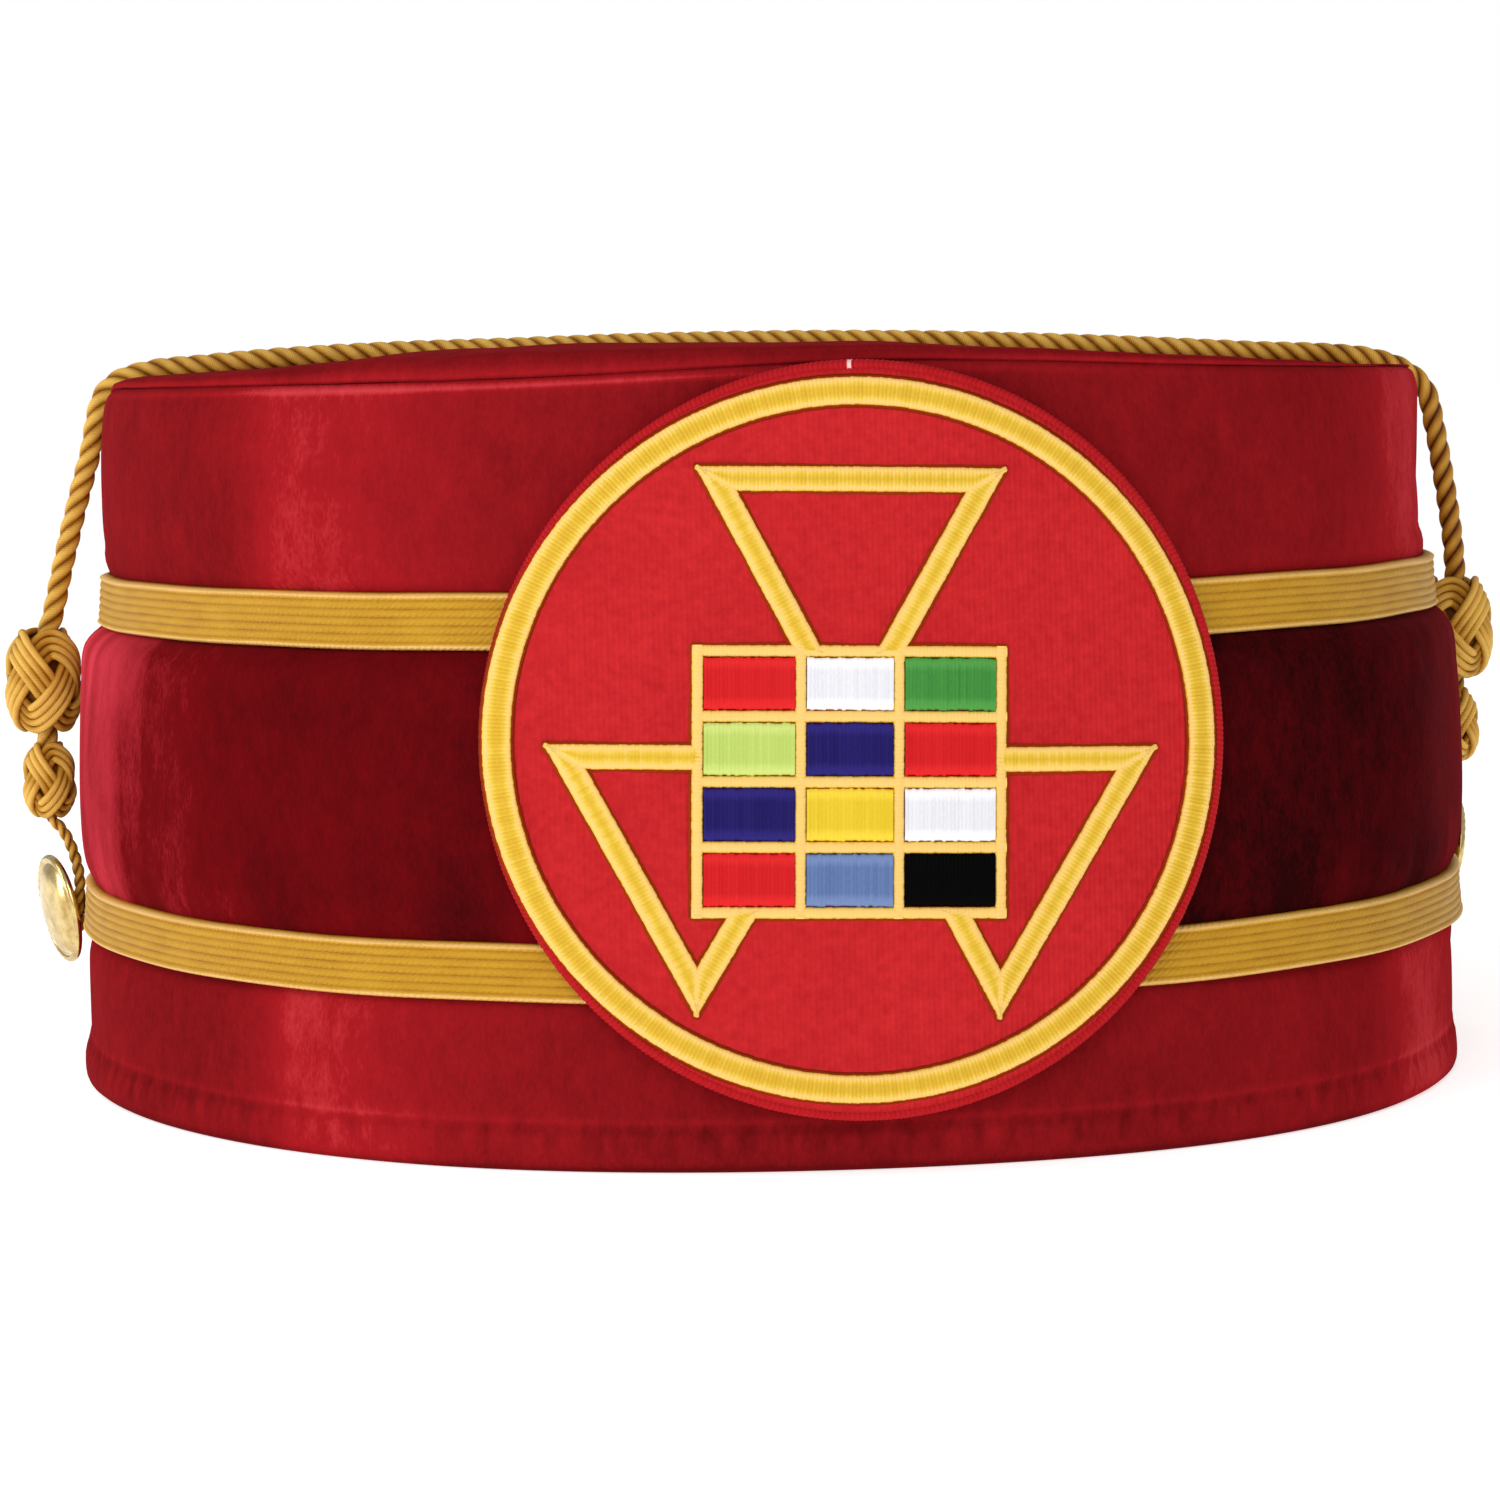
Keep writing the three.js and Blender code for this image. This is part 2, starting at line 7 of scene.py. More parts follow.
import bmesh
import bpy
import numpy as np
from mathutils import Matrix, Vector


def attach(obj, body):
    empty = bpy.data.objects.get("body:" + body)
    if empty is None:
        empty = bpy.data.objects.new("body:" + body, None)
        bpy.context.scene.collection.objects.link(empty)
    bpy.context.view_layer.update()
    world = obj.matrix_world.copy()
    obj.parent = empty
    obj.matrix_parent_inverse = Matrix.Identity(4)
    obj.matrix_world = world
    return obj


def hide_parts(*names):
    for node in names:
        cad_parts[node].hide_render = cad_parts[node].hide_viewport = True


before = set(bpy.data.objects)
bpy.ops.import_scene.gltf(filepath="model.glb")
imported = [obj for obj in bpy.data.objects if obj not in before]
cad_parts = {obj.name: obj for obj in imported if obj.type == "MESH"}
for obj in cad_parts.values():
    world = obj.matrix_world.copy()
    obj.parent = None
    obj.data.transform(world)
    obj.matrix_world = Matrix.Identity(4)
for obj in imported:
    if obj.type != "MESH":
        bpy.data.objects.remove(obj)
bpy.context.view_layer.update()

MM = 0.001
TURN = 2 * math.pi

# ------------ driving sizes

HALF_WIDTH, HALF_DEPTH = 84.0, 100.0
FRONT_PRESS, PRESS_REACH, PUFF_PRESSED = 5.0, 66.0, 0.7  # flat behind the patch
FORWARD = 2.2  # the whole cap is moved forward by this
CORE_RADIUS = 70.0  # inside this, the rings of the top shrink to a point
WALL_TOP = 85.2
TOP_SEAM = WALL_TOP + 0.3
SWELLS = [  # x, y, reach, lift of the cloth, and the heights that the lift grows between
    (6, -94, 34, 1.5, 66, WALL_TOP),
    (-81, 10, 12, -2.6, 66, WALL_TOP),
    (82, 7, 14, -1.4, 66, WALL_TOP),
    (63, -2, 20, -0.8, 66, WALL_TOP),
    (-34, -76, 34, 1.9, TOP_SEAM, 87),
    (62, -40, 34, -1.5, TOP_SEAM, 87),
    (53, 6, 20, -0.6, TOP_SEAM, 87),
]
SIDE_DRAWS = [  # height, and how far the cloth stands out there at the left and at the right side
    (0, 1, 0.1), (2.5, 0.8, -0.3), (6, -0.1, -0.9), (15, 0.2, -0.8), (18.4, 0, 0), (62.6, 0, 0),
    (66, -1, -2), (72, -0.7, -2.1), (78, -0.1, -1.3), (83, 0.2, -0.6),
]
SIDE_NONE, SIDE_FULL = 52.0, 80.0  # the distances across that these grow between
LOWER_GROOVE = (21.6, 0.5)  # height, offset
UPPER_GROOVE = (59.4, -2.3)
TAPE_WIDTH, TAPE_THICKNESS, TAPE_RIBS = 6.4, 1.25, 7
WALL_STEPS, BAND_STEPS, TOP_STEPS, TAPE_STEPS = 680, 540, 420, 640  # sections around the oval

EMBLEM_RADIUS, EMBLEM_HEIGHT, EMBLEM_ACROSS, EMBLEM_TURN = 40.7, 46.4, 0.7, 0.028
EMBLEM_BEND = 106.0
PATCH_THICKNESS, BORDER_RADIUS = 1.2, 0.6
STITCH_THICKNESS, THREAD_PITCH = 0.55, 0.42
GAP = 0.3

CORD_RADIUS, CORD_LAY, CORD_BACK = 1.4, 7.6, 8.5
LOOP_RADIUS, SHANK_OUT = 0.65, 87.3
SIDES = [  # name, way out, how far back it hangs, its lift, and how far its button faces to the front
    ("left", -1, 10, -1.4, 0.35),
    ("right", 1, 7, 1.4, 0),
]


# ------------ the oval outline of the head

def smooth(share):
    """From 0 to 1 with a soft start and end."""
    share = np.clip(share, 0, 1)
    return share * share * (3 - 2 * share)


def near(value, middle, reach):
    """1 at the middle, fading to 0 on both sides."""
    return np.exp(-(((value - middle) / reach) ** 2))


def unit(vectors):
    return vectors / np.linalg.norm(vectors, axis=-1, keepdims=True)


def run_along(points):
    """How far along a line each of its points lies."""
    return np.concatenate([[0], np.cumsum(np.linalg.norm(np.diff(points, axis=0), axis=1))])


def front_press(x, y):
    """1 in the middle of the front, fading to 0 at the sides."""
    share = np.minimum(1.0, np.abs(x) / PRESS_REACH)
    return np.where(y < 0, (1 - share**2) ** 2, 0.0)


def outline(angle):
    """A point of the oval: x to the right as seen from the front, and y to the back."""
    x, y = HALF_WIDTH * np.cos(angle), HALF_DEPTH * np.sin(angle)
    return x, y + FRONT_PRESS * front_press(x, y)


def outline_normal(angle):
    """The way straight out of the oval."""
    (x0, y0), (x1, y1) = outline(angle - 1e-3), outline(angle + 1e-3)
    size = np.hypot(x1 - x0, y1 - y0)
    return (y1 - y0) / size, (x0 - x1) / size


def groove_offset(height):
    """The offset of the line through both grooves."""
    share = (height - LOWER_GROOVE[0]) / (UPPER_GROOVE[0] - LOWER_GROOVE[0])
    return LOWER_GROOVE[1] + share * (UPPER_GROOVE[1] - LOWER_GROOVE[1])


def side_draw(x, height):
    """How far the cloth stands out at the sides."""
    heights, left, right = zip(*SIDE_DRAWS)
    draw = np.where(x < 0, np.interp(height, heights, left), np.interp(height, heights, right))
    return draw * smooth((np.abs(x) - SIDE_NONE) / (SIDE_FULL - SIDE_NONE))


def swell(x, y, height):
    """How far the swells lift the cloth."""
    lift = 0.0
    for a, b, reach, up, low, high in SWELLS:
        share = np.clip((height - low) / (high - low), 0, 1)
        lift = lift + share * up * np.exp(-((x - a) ** 2 + (y - b) ** 2) / reach**2)
    return lift


def on_oval(offset, angle, height):
    """Points at this offset outside the outline. Near the middle of the top, the rings shrink to a point."""
    x, y = outline(angle)
    nx, ny = outline_normal(angle)
    groove = groove_offset(height)
    asked = np.maximum(offset, CORE_RADIUS - HALF_WIDTH)
    pressed = PUFF_PRESSED * front_press(x, y)
    out = np.where(asked > groove, asked + (groove - asked) * pressed, asked) + side_draw(x, height)
    shrink = np.minimum(1.0, (HALF_WIDTH + offset) / CORE_RADIUS)
    x, y = (x + nx * out) * shrink, (y + ny * out) * shrink
    return np.stack([x, y - FORWARD, height + swell(x, y, height)], axis=-1)


def even_angles(count):
    """Angles that divide the outline into equal lengths from the middle of the back, and those lengths."""
    fine = math.pi / 2 + np.linspace(0, TURN, 4001)
    run = run_along(np.stack(outline(fine), -1))
    along = np.linspace(0, run[-1], count, endpoint=False)
    return np.interp(along, run, fine), along, run[-1]


PERIMETER = even_angles(4)[2]


def ripples(along, length, seed, height=0.0, drift=0.0):
    """Soft uneven waves around the cap, about -1 to 1, which close on themselves."""
    draw = np.random.default_rng(seed)
    total = 0.0
    for pace in (0.6, 0.85, 1.0, 1.35, 1.9):
        turns = max(1, round(PERIMETER * pace / length))
        lean = drift * draw.uniform(-1, 1) * height
        total = total + np.sin(TURN * turns * along / PERIMETER + draw.uniform(0, TURN) + lean)
    return total / 2.6


def between(t, ta, a, tb, b):
    """What lies at t on the straight line through a at ta and b at tb."""
    return ((tb - t) * a + (t - ta) * b) / (tb - ta)


def spline(rows, step):
    """A smooth line through these points, in steps of about this length."""
    rows = np.asarray(rows, float)
    padded = np.vstack([2 * rows[0] - rows[1], rows, 2 * rows[-1] - rows[-2]])
    made = []
    for p0, p1, p2, p3 in zip(padded, padded[1:], padded[2:], padded[3:]):
        spans = np.linalg.norm(np.diff([p0, p1, p2, p3], axis=0), axis=1)
        t0, t1, t2, t3 = np.cumsum([0, *np.sqrt(spans)])
        count = max(1, math.ceil(spans[1] / step))
        t = np.linspace(t1, t2, count, endpoint=False)[:, None]
        a1, a2, a3 = between(t, t0, p0, t1, p1), between(t, t1, p1, t2, p2), between(t, t2, p2, t3, p3)
        made.append(between(t, t1, between(t, t0, a1, t2, a2), t2, between(t, t1, a2, t3, a3)))
    return np.vstack([*made, rows[-1:]])


# ------------ meshes

class Shape:
    """Gathers grids of points and becomes one mesh, with a thread map in millimetres and a tone per point."""

    def __init__(self):
        self.points, self.faces, self.map, self.finish, self.tones = [], [], [], [], []
        self.count = 0

    def grid(self, points, ring=False, tube=True, caps=False, tone=0.5, finish=0):
        """points[i, j]: j goes round a section, and i from section to section. ring closes i and tube
        closes j. finish is a material's number, or one number for each j."""
        n, m = points.shape[:2]
        i = np.arange(n if ring else n - 1)[:, None]
        j = np.arange(m if tube else m - 1)[None, :]
        i2, j2 = (i + 1) % n, (j + 1) % m
        quads = np.stack([i * m + j, i2 * m + j, i2 * m + j2, i * m + j2], -1) + self.count
        self.faces += quads.reshape(-1, 4).tolist()
        middles, section = points.mean(1), points[n // 2]
        along = run_along(np.vstack([middles, middles[:1]]))
        across = run_along(np.vstack([section, section[:1]]))
        u = np.broadcast_to(np.stack([along[i], along[i + 1], along[i + 1], along[i]], -1), quads.shape)
        v = np.broadcast_to(np.stack([across[j], across[j], across[j + 1], across[j + 1]], -1), quads.shape)
        self.map.append(np.stack([u, v], -1).reshape(-1, 2))
        kinds = np.broadcast_to(np.atleast_1d(finish)[: quads.shape[1]], quads.shape[:2])
        self.finish.append(kinds.reshape(-1))
        if caps:
            first, last = np.arange(m)[::-1], (n - 1) * m + np.arange(m)
            for cap in (first, last):
                self.faces.append((cap + self.count).tolist())
                self.map.append(np.zeros((m, 2)))
                self.finish.append(np.array([kinds[0, 0]]))
        self.points.append(points.reshape(-1, 3))
        self.tones.append(np.broadcast_to(tone, (n, m)).reshape(-1))
        self.count += n * m
        return self

    def make(self, name, materials, inside_out=False, merge=False):
        """The finished object. merge makes one point of the many at the middle of a disc."""
        mesh = bpy.data.meshes.new(name)
        mesh.from_pydata((np.vstack(self.points) * MM).tolist(), [], self.faces)
        thread_map = mesh.uv_layers.new(name="thread")
        thread_map.data.foreach_set("uv", np.vstack(self.map).astype(np.float32).ravel())
        tone = mesh.attributes.new("tone", "FLOAT", "POINT")
        tone.data.foreach_set("value", np.concatenate(self.tones).astype(np.float32))
        mesh.polygons.foreach_set("material_index", np.concatenate(self.finish).astype(np.int32))
        mesh.shade_smooth()
        if inside_out:
            mesh.flip_normals()
        if merge:
            merge_points(mesh)
        for material in materials:
            mesh.materials.append(material)
        mesh.update()
        return add(name, mesh)


def add(name, data):
    made = bpy.data.objects.new(name, data)
    bpy.context.scene.collection.objects.link(made)
    return made


def merge_points(mesh):
    work = bmesh.new()
    work.from_mesh(mesh)
    bmesh.ops.remove_doubles(work, verts=work.verts, dist=1e-7)
    work.to_mesh(mesh)
    work.free()


def place(made, slot, *nodes):
    """Puts a piece on the cap in place of these plain solids."""
    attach(made, "root")
    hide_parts(*nodes)
    return made


def sweep(path, radius, sides):
    """A round tube along a path, as a grid of points, and the two ways across it, which never twist."""
    tangent = unit(np.gradient(path, axis=0))
    side = np.cross(tangent[0], (0.31, 0.72, 0.62))
    across = np.empty_like(path)
    for i, direction in enumerate(tangent):
        side = unit(side - direction * (side @ direction))
        across[i] = side
    other = np.cross(tangent, across)
    angle = (np.arange(sides) * TURN / sides)[None, :, None]
    ring = np.cos(angle) * across[:, None] + np.sin(angle) * other[:, None]
    return path[:, None] + radius * ring, across, other


def resample(path, step):
    """Points an even step apart along a path, and how far along each lies."""
    run = run_along(path)
    even = np.linspace(0, run[-1], max(2, round(run[-1] / step) + 1))
    return np.stack([np.interp(even, run, path[:, k]) for k in range(3)], -1), even


# ------------ materials

class Finish:
    """A procedural material: a Principled shader and the nodes that feed it."""

    def __init__(self, name, **sockets):
        self.material = bpy.data.materials.new(name)
        self.material.use_nodes = True
        self.tree = self.material.node_tree
        self.shader = self.tree.nodes["Principled BSDF"]
        for socket, value in sockets.items():
            self.shader.inputs[socket.replace("_", " ")].default_value = value

    def node(self, kind, inputs=(), **settings):
        made = self.tree.nodes.new("ShaderNode" + kind)
        for key, value in settings.items():
            setattr(made, key, value)
        for key, value in dict(inputs).items():
            if isinstance(value, bpy.types.NodeSocket):
                self.tree.links.new(value, made.inputs[key])
            else:
                made.inputs[key].default_value = value
        return made

    def metres(self, stretch=(1, 1, 1)):
        place_at = self.node("TexCoord").outputs["Object"]
        return self.node("Mapping", {"Vector": place_at, "Scale": stretch}).outputs["Vector"]

    def thread_map(self, stretch=(1, 1, 1), turn=0.0):
        place_at = self.node("UVMap", uv_map="thread").outputs["UV"]
        inputs = {"Vector": place_at, "Scale": stretch, "Rotation": (0, 0, turn)}
        return self.node("Mapping", inputs).outputs["Vector"]

    def tone(self):
        return self.node("Attribute", attribute_name="tone").outputs["Fac"]

    def noise(self, at, scale, detail=2.0, roughness=0.5):
        inputs = {"Vector": at, "Scale": scale, "Detail": detail, "Roughness": roughness}
        return self.node("TexNoise", inputs).outputs["Fac"]

    def wave(self, at, scale, distortion=0.0):
        inputs = {"Vector": at, "Scale": scale, "Distortion": distortion, "Detail": 1.0}
        return self.node("TexWave", inputs, wave_profile="SIN").outputs["Fac"]

    def span(self, value, low, high, to_low=0.0, to_high=1.0):
        inputs = {"Value": value, 1: low, 2: high, 3: to_low, 4: to_high}
        return self.node("MapRange", inputs).outputs["Result"]

    def sum(self, a, b, kind="ADD"):
        return self.node("Math", {0: a, 1: b}, operation=kind).outputs[0]

    def vary(self, shade, noise, amount):
        """The shade, made lighter and darker by up to this amount."""
        return self.sum(shade, self.span(noise, 0.3, 0.7, -amount, amount))

    def mix(self, share, low, high):
        inputs = {0: share, 6: low, 7: high}
        return self.node("Mix", inputs, data_type="RGBA").outputs[2]

    def bump(self, height, depth, strength=1.0, over=None):
        inputs = {"Height": height, "Distance": depth * MM, "Strength": strength}
        if over is not None:
            inputs["Normal"] = over
        return self.node("Bump", inputs).outputs["Normal"]

    def colour(self, socket):
        self.tree.links.new(socket, self.shader.inputs["Base Color"])
        return self

    def relief(self, socket):
        self.tree.links.new(socket, self.shader.inputs["Normal"])
        return self

    def roughness(self, socket):
        self.tree.links.new(socket, self.shader.inputs["Roughness"])
        return self


def rgb(red, green, blue):
    """A screen colour, 0 to 255, as linear light."""
    channels = [c / 255 for c in (red, green, blue)]
    linear = [c / 12.92 if c <= 0.04045 else ((c + 0.055) / 1.055) ** 2.4 for c in channels]
    return (*linear, 1.0)


def velvet(name, deep, light, painted_glow, sheen):
    """Short pile, with soft clouds and a fine upright grain over it. Its tone carries painted highlights and
    painted shade that stand in for the side light, and a tone above 1 mixes towards a painted glow. It has a
    sheen and no gloss."""
    made = Finish(name, Roughness=0.6, Specular_IOR_Level=0.0, Sheen_Weight=sheen, Sheen_Roughness=0.3)
    made.shader.inputs["Sheen Tint"].default_value = rgb(236, 96, 104)
    cloud = made.noise(made.metres(), 75, 3, 0.55)
    pile = made.noise(made.metres((1, 1, 0.5)), 2400, 2, 0.6)
    grain = made.noise(made.metres((1, 1, 0.6)), 520, 3, 0.6)
    shade = made.vary(made.tone(), cloud, 0.1)
    shade = made.vary(made.vary(shade, grain, 0.08), pile, 0.08)
    # The tone's painted light sets the colour, and above 0.75 it mixes towards the painted glow colour.
    pile_with_painted_light = made.mix(made.span(shade, 0, 1), deep, light)
    made.colour(made.mix(made.span(shade, 0.75, 1.7), pile_with_painted_light, painted_glow))
    return made.relief(made.bump(pile, 0.2, 0.35, made.bump(grain, 0.3, 0.2))).material


def lining():
    made = Finish("lining_cloth", Roughness=0.85, Specular_IOR_Level=0.1)
    across = made.wave(made.thread_map(), 1.1, 0.4)
    up = made.wave(made.thread_map(turn=TURN / 4), 1.1, 0.4)
    weave = made.sum(across, up, "MAXIMUM")
    worn = made.noise(made.metres(), 60, 3)
    made.colour(made.mix(made.span(worn, 0.3, 0.7), rgb(64, 12, 18), rgb(92, 18, 26)))
    return made.relief(made.bump(weave, 0.15, 0.5)).material


def braid_tape():
    """Gold tape: fine ribs of slanting threads between two rolled edges, with painted shade brown in the
    grooves and underneath, and a pale painted highlight on the rolled edges.
    """
    made = Finish("gold_tape", Roughness=0.45, Specular_IOR_Level=0.12)
    slant = made.wave(made.thread_map(turn=0.9), 0.62, 1.2)
    fibre = made.noise(made.thread_map((0.6, 4, 1)), 3.2, 3, 0.6)
    patchy = made.noise(made.thread_map((0.05, 0.3, 1)), 3, 2)
    crown = made.vary(made.vary(made.tone(), fibre, 0.16), patchy, 0.12)
    # Low tones are painted shade, brown in the grooves and where the edges turn under; tones above 1.05 are a
    # pale painted highlight on the rolled edges.
    between = made.mix(made.span(crown, 0.0, 0.5), rgb(104, 46, 8), rgb(176, 120, 22))
    core = made.mix(made.span(crown, 0.4, 1.0), between, rgb(206, 156, 38))
    made.colour(made.mix(made.span(crown, 1.05, 1.6), core, rgb(240, 192, 112)))
    return made.relief(made.bump(fibre, 0.12, 0.5, made.bump(slant, 0.14, 0.5))).material


def twill():
    made = Finish("red_twill", Roughness=0.7, Specular_IOR_Level=0.08)
    slant = made.wave(made.metres((1, 0, 1)), 520, 0.8)
    grain = made.noise(made.metres((1, 0.4, 1)), 900, 3, 0.65)
    cloud = made.noise(made.metres(), 90, 3)
    shade = made.sum(made.span(grain, 0.3, 0.7, 0, 0.7), made.span(cloud, 0.3, 0.7, 0, 0.3))
    made.colour(made.mix(shade, rgb(180, 26, 32), rgb(208, 40, 44)))
    return made.relief(made.bump(grain, 0.12, 0.5, made.bump(slant, 0.1, 0.6))).material


def thread(name, deep, light, edge=None, hole_shadow=None):
    """Embroidery thread: each stitch has its own tone, with fine fibres along it. edge is the colour where
    the tone runs above 0.7: a painted highlight where the threads turn over at the side of a field, and the
    pale thread end on the red edge. The hole colour is a painted shadow where the thread goes down into the
    cloth."""
    made = Finish(name, Roughness=0.45, Specular_IOR_Level=0.03)
    fibre = made.noise(made.thread_map((6, 0.7, 1)), 3, 2, 0.6)
    colour = made.mix(made.span(made.vary(made.tone(), fibre, 0.18), 0, 1), deep, light)
    if edge:
        colour = made.mix(made.span(made.tone(), 0.7, 1.1), colour, edge)
    if hole_shadow:
        colour = made.mix(made.span(made.tone(), -0.1, -0.8), colour, hole_shadow)
    return made.colour(colour).relief(made.bump(fibre, 0.05, 0.4)).material


def cord_thread():
    """Old gold rayon cord, with painted shade in its tone: bright on the outside of a strand and brown deep
    between the strands.
    """
    made = Finish("gold_cord", Roughness=0.42, Specular_IOR_Level=0.18)
    fibre = made.wave(made.thread_map(turn=0.5), 1.6, 1.5)
    patchy = made.noise(made.metres(), 350, 3)
    shade = made.sum(made.tone(), made.span(fibre, 0, 1, -0.12, 0.12))
    shade = made.vary(shade, patchy, 0.12)
    dark = made.mix(made.span(shade, 0.0, 0.6), rgb(92, 34, 8), rgb(192, 134, 32))
    made.colour(made.mix(made.span(shade, 0.6, 1.0), dark, rgb(242, 194, 90)))
    return made.relief(made.bump(fibre, 0.08, 0.6)).material


def brass():
    made = Finish("brass", Metallic=1.0, Roughness=0.2)
    worn = made.noise(made.metres(), 420, 4, 0.6)
    made.colour(made.mix(made.span(worn, 0.4, 0.75), rgb(228, 204, 140), rgb(170, 132, 66)))
    made.roughness(made.span(worn, 0.3, 0.8, 0.14, 0.34))
    return made.relief(made.bump(worn, 0.05, 0.3)).material


# ------------ velvet: wall, band, top

# Sections are rows of offset and height. The wall's runs from the rim up outside and back down inside.
LOWER_ZONE = [
    (0.7, 0.0), (1.35, 0.4), (1.65, 1.3), (1.8, 5), (1.75, 9), (1.5, 15.5), (1.1, 17.4), (0.5, 18.4),
]
BEHIND_BAND = [(0.5, 19.7), (-0.7, 19.75), (-0.7, 25), (0.8, 33), (0.7, 45), (-3.5, 56), (-3.5, 61.1)]
UPPER_ZONE = [
    (-2.3, 62.4), (-1.6, 63.4), (-0.8, 65), (-0.5, 71), (-1.5, 80), (-2.3, 84), (-2.7, 84.9), (-3.3, 85.3),
]
INSIDE = [(-5.7, 85.3), (-3.3, 71), (-5, 59), (-1.4, 41), (-2.2, 21), (-0.7, 0.5), (-0.3, 0.05), (0.2, 0.0)]
HEM_STITCHES, STITCH_LENGTH = 4.7, 2.6
# Painted light on the pile: streaks of painted highlight, and painted shade where the last number is below 0,
# standing in for the side light: a place across the front, how far each fades to the left and right, and how
# light it is.
WALL_PAINTED_LIGHT = [(-60, 4, 14, 0.5), (-38, 14, 16, 0.1), (60, 30, 30, 0.05), (72, 8, 9, 0.57)]
BAND_PAINTED_LIGHT = [(-84, 6, 24, 0.3), (-50, 20, 30, 0.2), (40, 30, 44, -0.2), (92, 10, 6, 0.8)]


def hem_stitches(along, height):
    """How deep the sewn line near the rim pulls the velvet in, stitch by stitch."""
    each = 0.5 + 0.5 * np.cos(TURN * round(PERIMETER / STITCH_LENGTH) * along / PERIMETER)
    return near(height, HEM_STITCHES, 0.5) * (0.3 + 0.7 * each)


def wall_relief(along, height):
    """The hem's stitched line with its puckers, and the soft waves of velvet over a stiff lining."""
    hem = -0.25 * hem_stitches(along, height)
    hem = hem + 0.08 * near(height, HEM_STITCHES - 0.6, 1.6) * ripples(along, 4, 11, height, 0.9)
    lower = 0.25 * near(height, 12, 7) * ripples(along, 60, 12, height, 0.08)
    upper = 0.3 * near(height, 74, 9) * ripples(along, 70, 13, height, 0.06)
    seam = 0.1 * near(height, 84.5, 2.2) * ripples(along, 16, 14, height, 0.3)
    return hem + lower + upper + seam


def in_front(points):
    """1 on the front half of the cap, fading to 0 behind its sides."""
    return smooth(0.6 - points[..., 1] / 60)


def pile_tone_painted_light(points, streaks):
    """The tone of the pile: a middle tone, with streaks of painted highlight where the side light falls, and
    painted shade where a streak's light is below 0.
    """
    x = points[..., 0]
    tone = np.full(x.shape, 0.3)
    for across, left, right, light in streaks:
        reach = np.where(x < across, left, right)
        tone = tone + light * near(x, across, reach) * in_front(points)
    return tone


def wall_tone(points, along, height):
    """Painted shade at the stitches and under the rim, a painted highlight just above the stitches, mottled
    below the stitches, and a painted highlight along the seam.
    """
    tone = pile_tone_painted_light(points, WALL_PAINTED_LIGHT)
    # Painted shade in the stitch dents, and a painted highlight on the puff just above them.
    tone = tone - 0.2 * hem_stitches(along, height) + 0.16 * near(height, HEM_STITCHES + 0.9, 0.4)
    mottled = ripples(along, 3.5, 15, height, 1.6) * near(height, HEM_STITCHES - 0.8, 1.8)
    # The mottling differs at random; the dark line at the rim is painted shade.
    tone = tone + 0.15 * mottled - 0.5 * near(height, 0, 0.7)
    # A painted highlight along the top seam at the front.
    return tone + 0.7 * near(height, 84.6, 0.4) * near(points[..., 0], -30, 45) * in_front(points)


def section_rows(first, second):
    """The offsets and heights of a section made of two lines, and which of its points are on the first."""
    offset, height = np.vstack([first, second]).T[:, None]
    return offset, height, (np.arange(offset.size) < len(first))[None, :]


def oval_columns(steps):
    """The angles of this many sections around the cap, and how far along the oval they stand."""
    angles, along, _ = even_angles(steps)
    return angles[:, None], along[:, None]


def velvet_wall(outside, inside):
    """The crimson cloth in one piece: up the outside, over the top edge, and down inside as the lining."""
    angles, along = oval_columns(WALL_STEPS)
    outer = np.vstack([spline(LOWER_ZONE, 0.6), spline(BEHIND_BAND, 7), spline(UPPER_ZONE, 0.9)])
    offset, height, is_outer = section_rows(outer, spline(INSIDE, 6))
    relief = np.where(is_outer, wall_relief(along, height), 0.0)
    points = on_oval(offset + relief, angles, height)
    kinds = (np.arange(offset.size) > len(outer)).astype(int)
    tone = wall_tone(points, along, height)
    shape = Shape().grid(points, ring=True, finish=kinds, tone=tone)
    return place(shape.make("velvet_wall", [outside, inside]), "velvet", "crown_wall")


BAND_OUTSIDE = [
    (0.5, 20), (0.5, 24), (1.1, 25.3), (1.9, 27.4), (2.4, 33), (2.4, 42), (1.95, 49), (1.1, 54), (-0.6, 55.8),
    (-2.2, 56.6), (-2.3, 60.9),
]
BAND_INSIDE = [(-3.2, 60.9), (-3.2, 55.6), (1.3, 45), (1.4, 33), (-0.4, 25.4), (-0.4, 20)]


def band_relief(along, height):
    """Gathers where the tapes pull the velvet in, and broad slack folds between them."""
    low = 0.14 * near(height, 27.5, 4) * ripples(along, 12, 21, height, 0.2)
    high = 0.1 * near(height, 53, 4) * ripples(along, 14, 22, height, 0.2)
    slack = 0.4 * near(height, 40, 12) * ripples(along, 52, 23, height, 0.1)
    return low + high + slack


def velvet_band(finish):
    """The puffed band between the tapes, with a painted glow at its left end, most of all under the upper
    tape, that stands in for the side light.
    """
    angles, along = oval_columns(BAND_STEPS)
    offset, height, is_outer = section_rows(spline(BAND_OUTSIDE, 0.95), spline(BAND_INSIDE, 6))
    relief = np.where(is_outer, band_relief(along, height), 0.0)
    points = on_oval(offset + relief, angles, height)
    tone = pile_tone_painted_light(points, BAND_PAINTED_LIGHT) + 0.14 * near(height, 27, 6) * ripples(along, 26, 24)
    # A painted glow at the left end, strongest under the upper tape, standing in for the side light.
    side = near(points[..., 0], -89, 12) * (0.85 + 0.25 * ripples(along, 14, 25, height, 0.08))
    tone = tone + side * (0.7 + 0.8 * near(height, 59, 11)) * in_front(points)
    shape = Shape().grid(points, ring=True, tone=tone)
    return place(shape.make("velvet_band", [finish]), "dark_velvet", "centre_band")


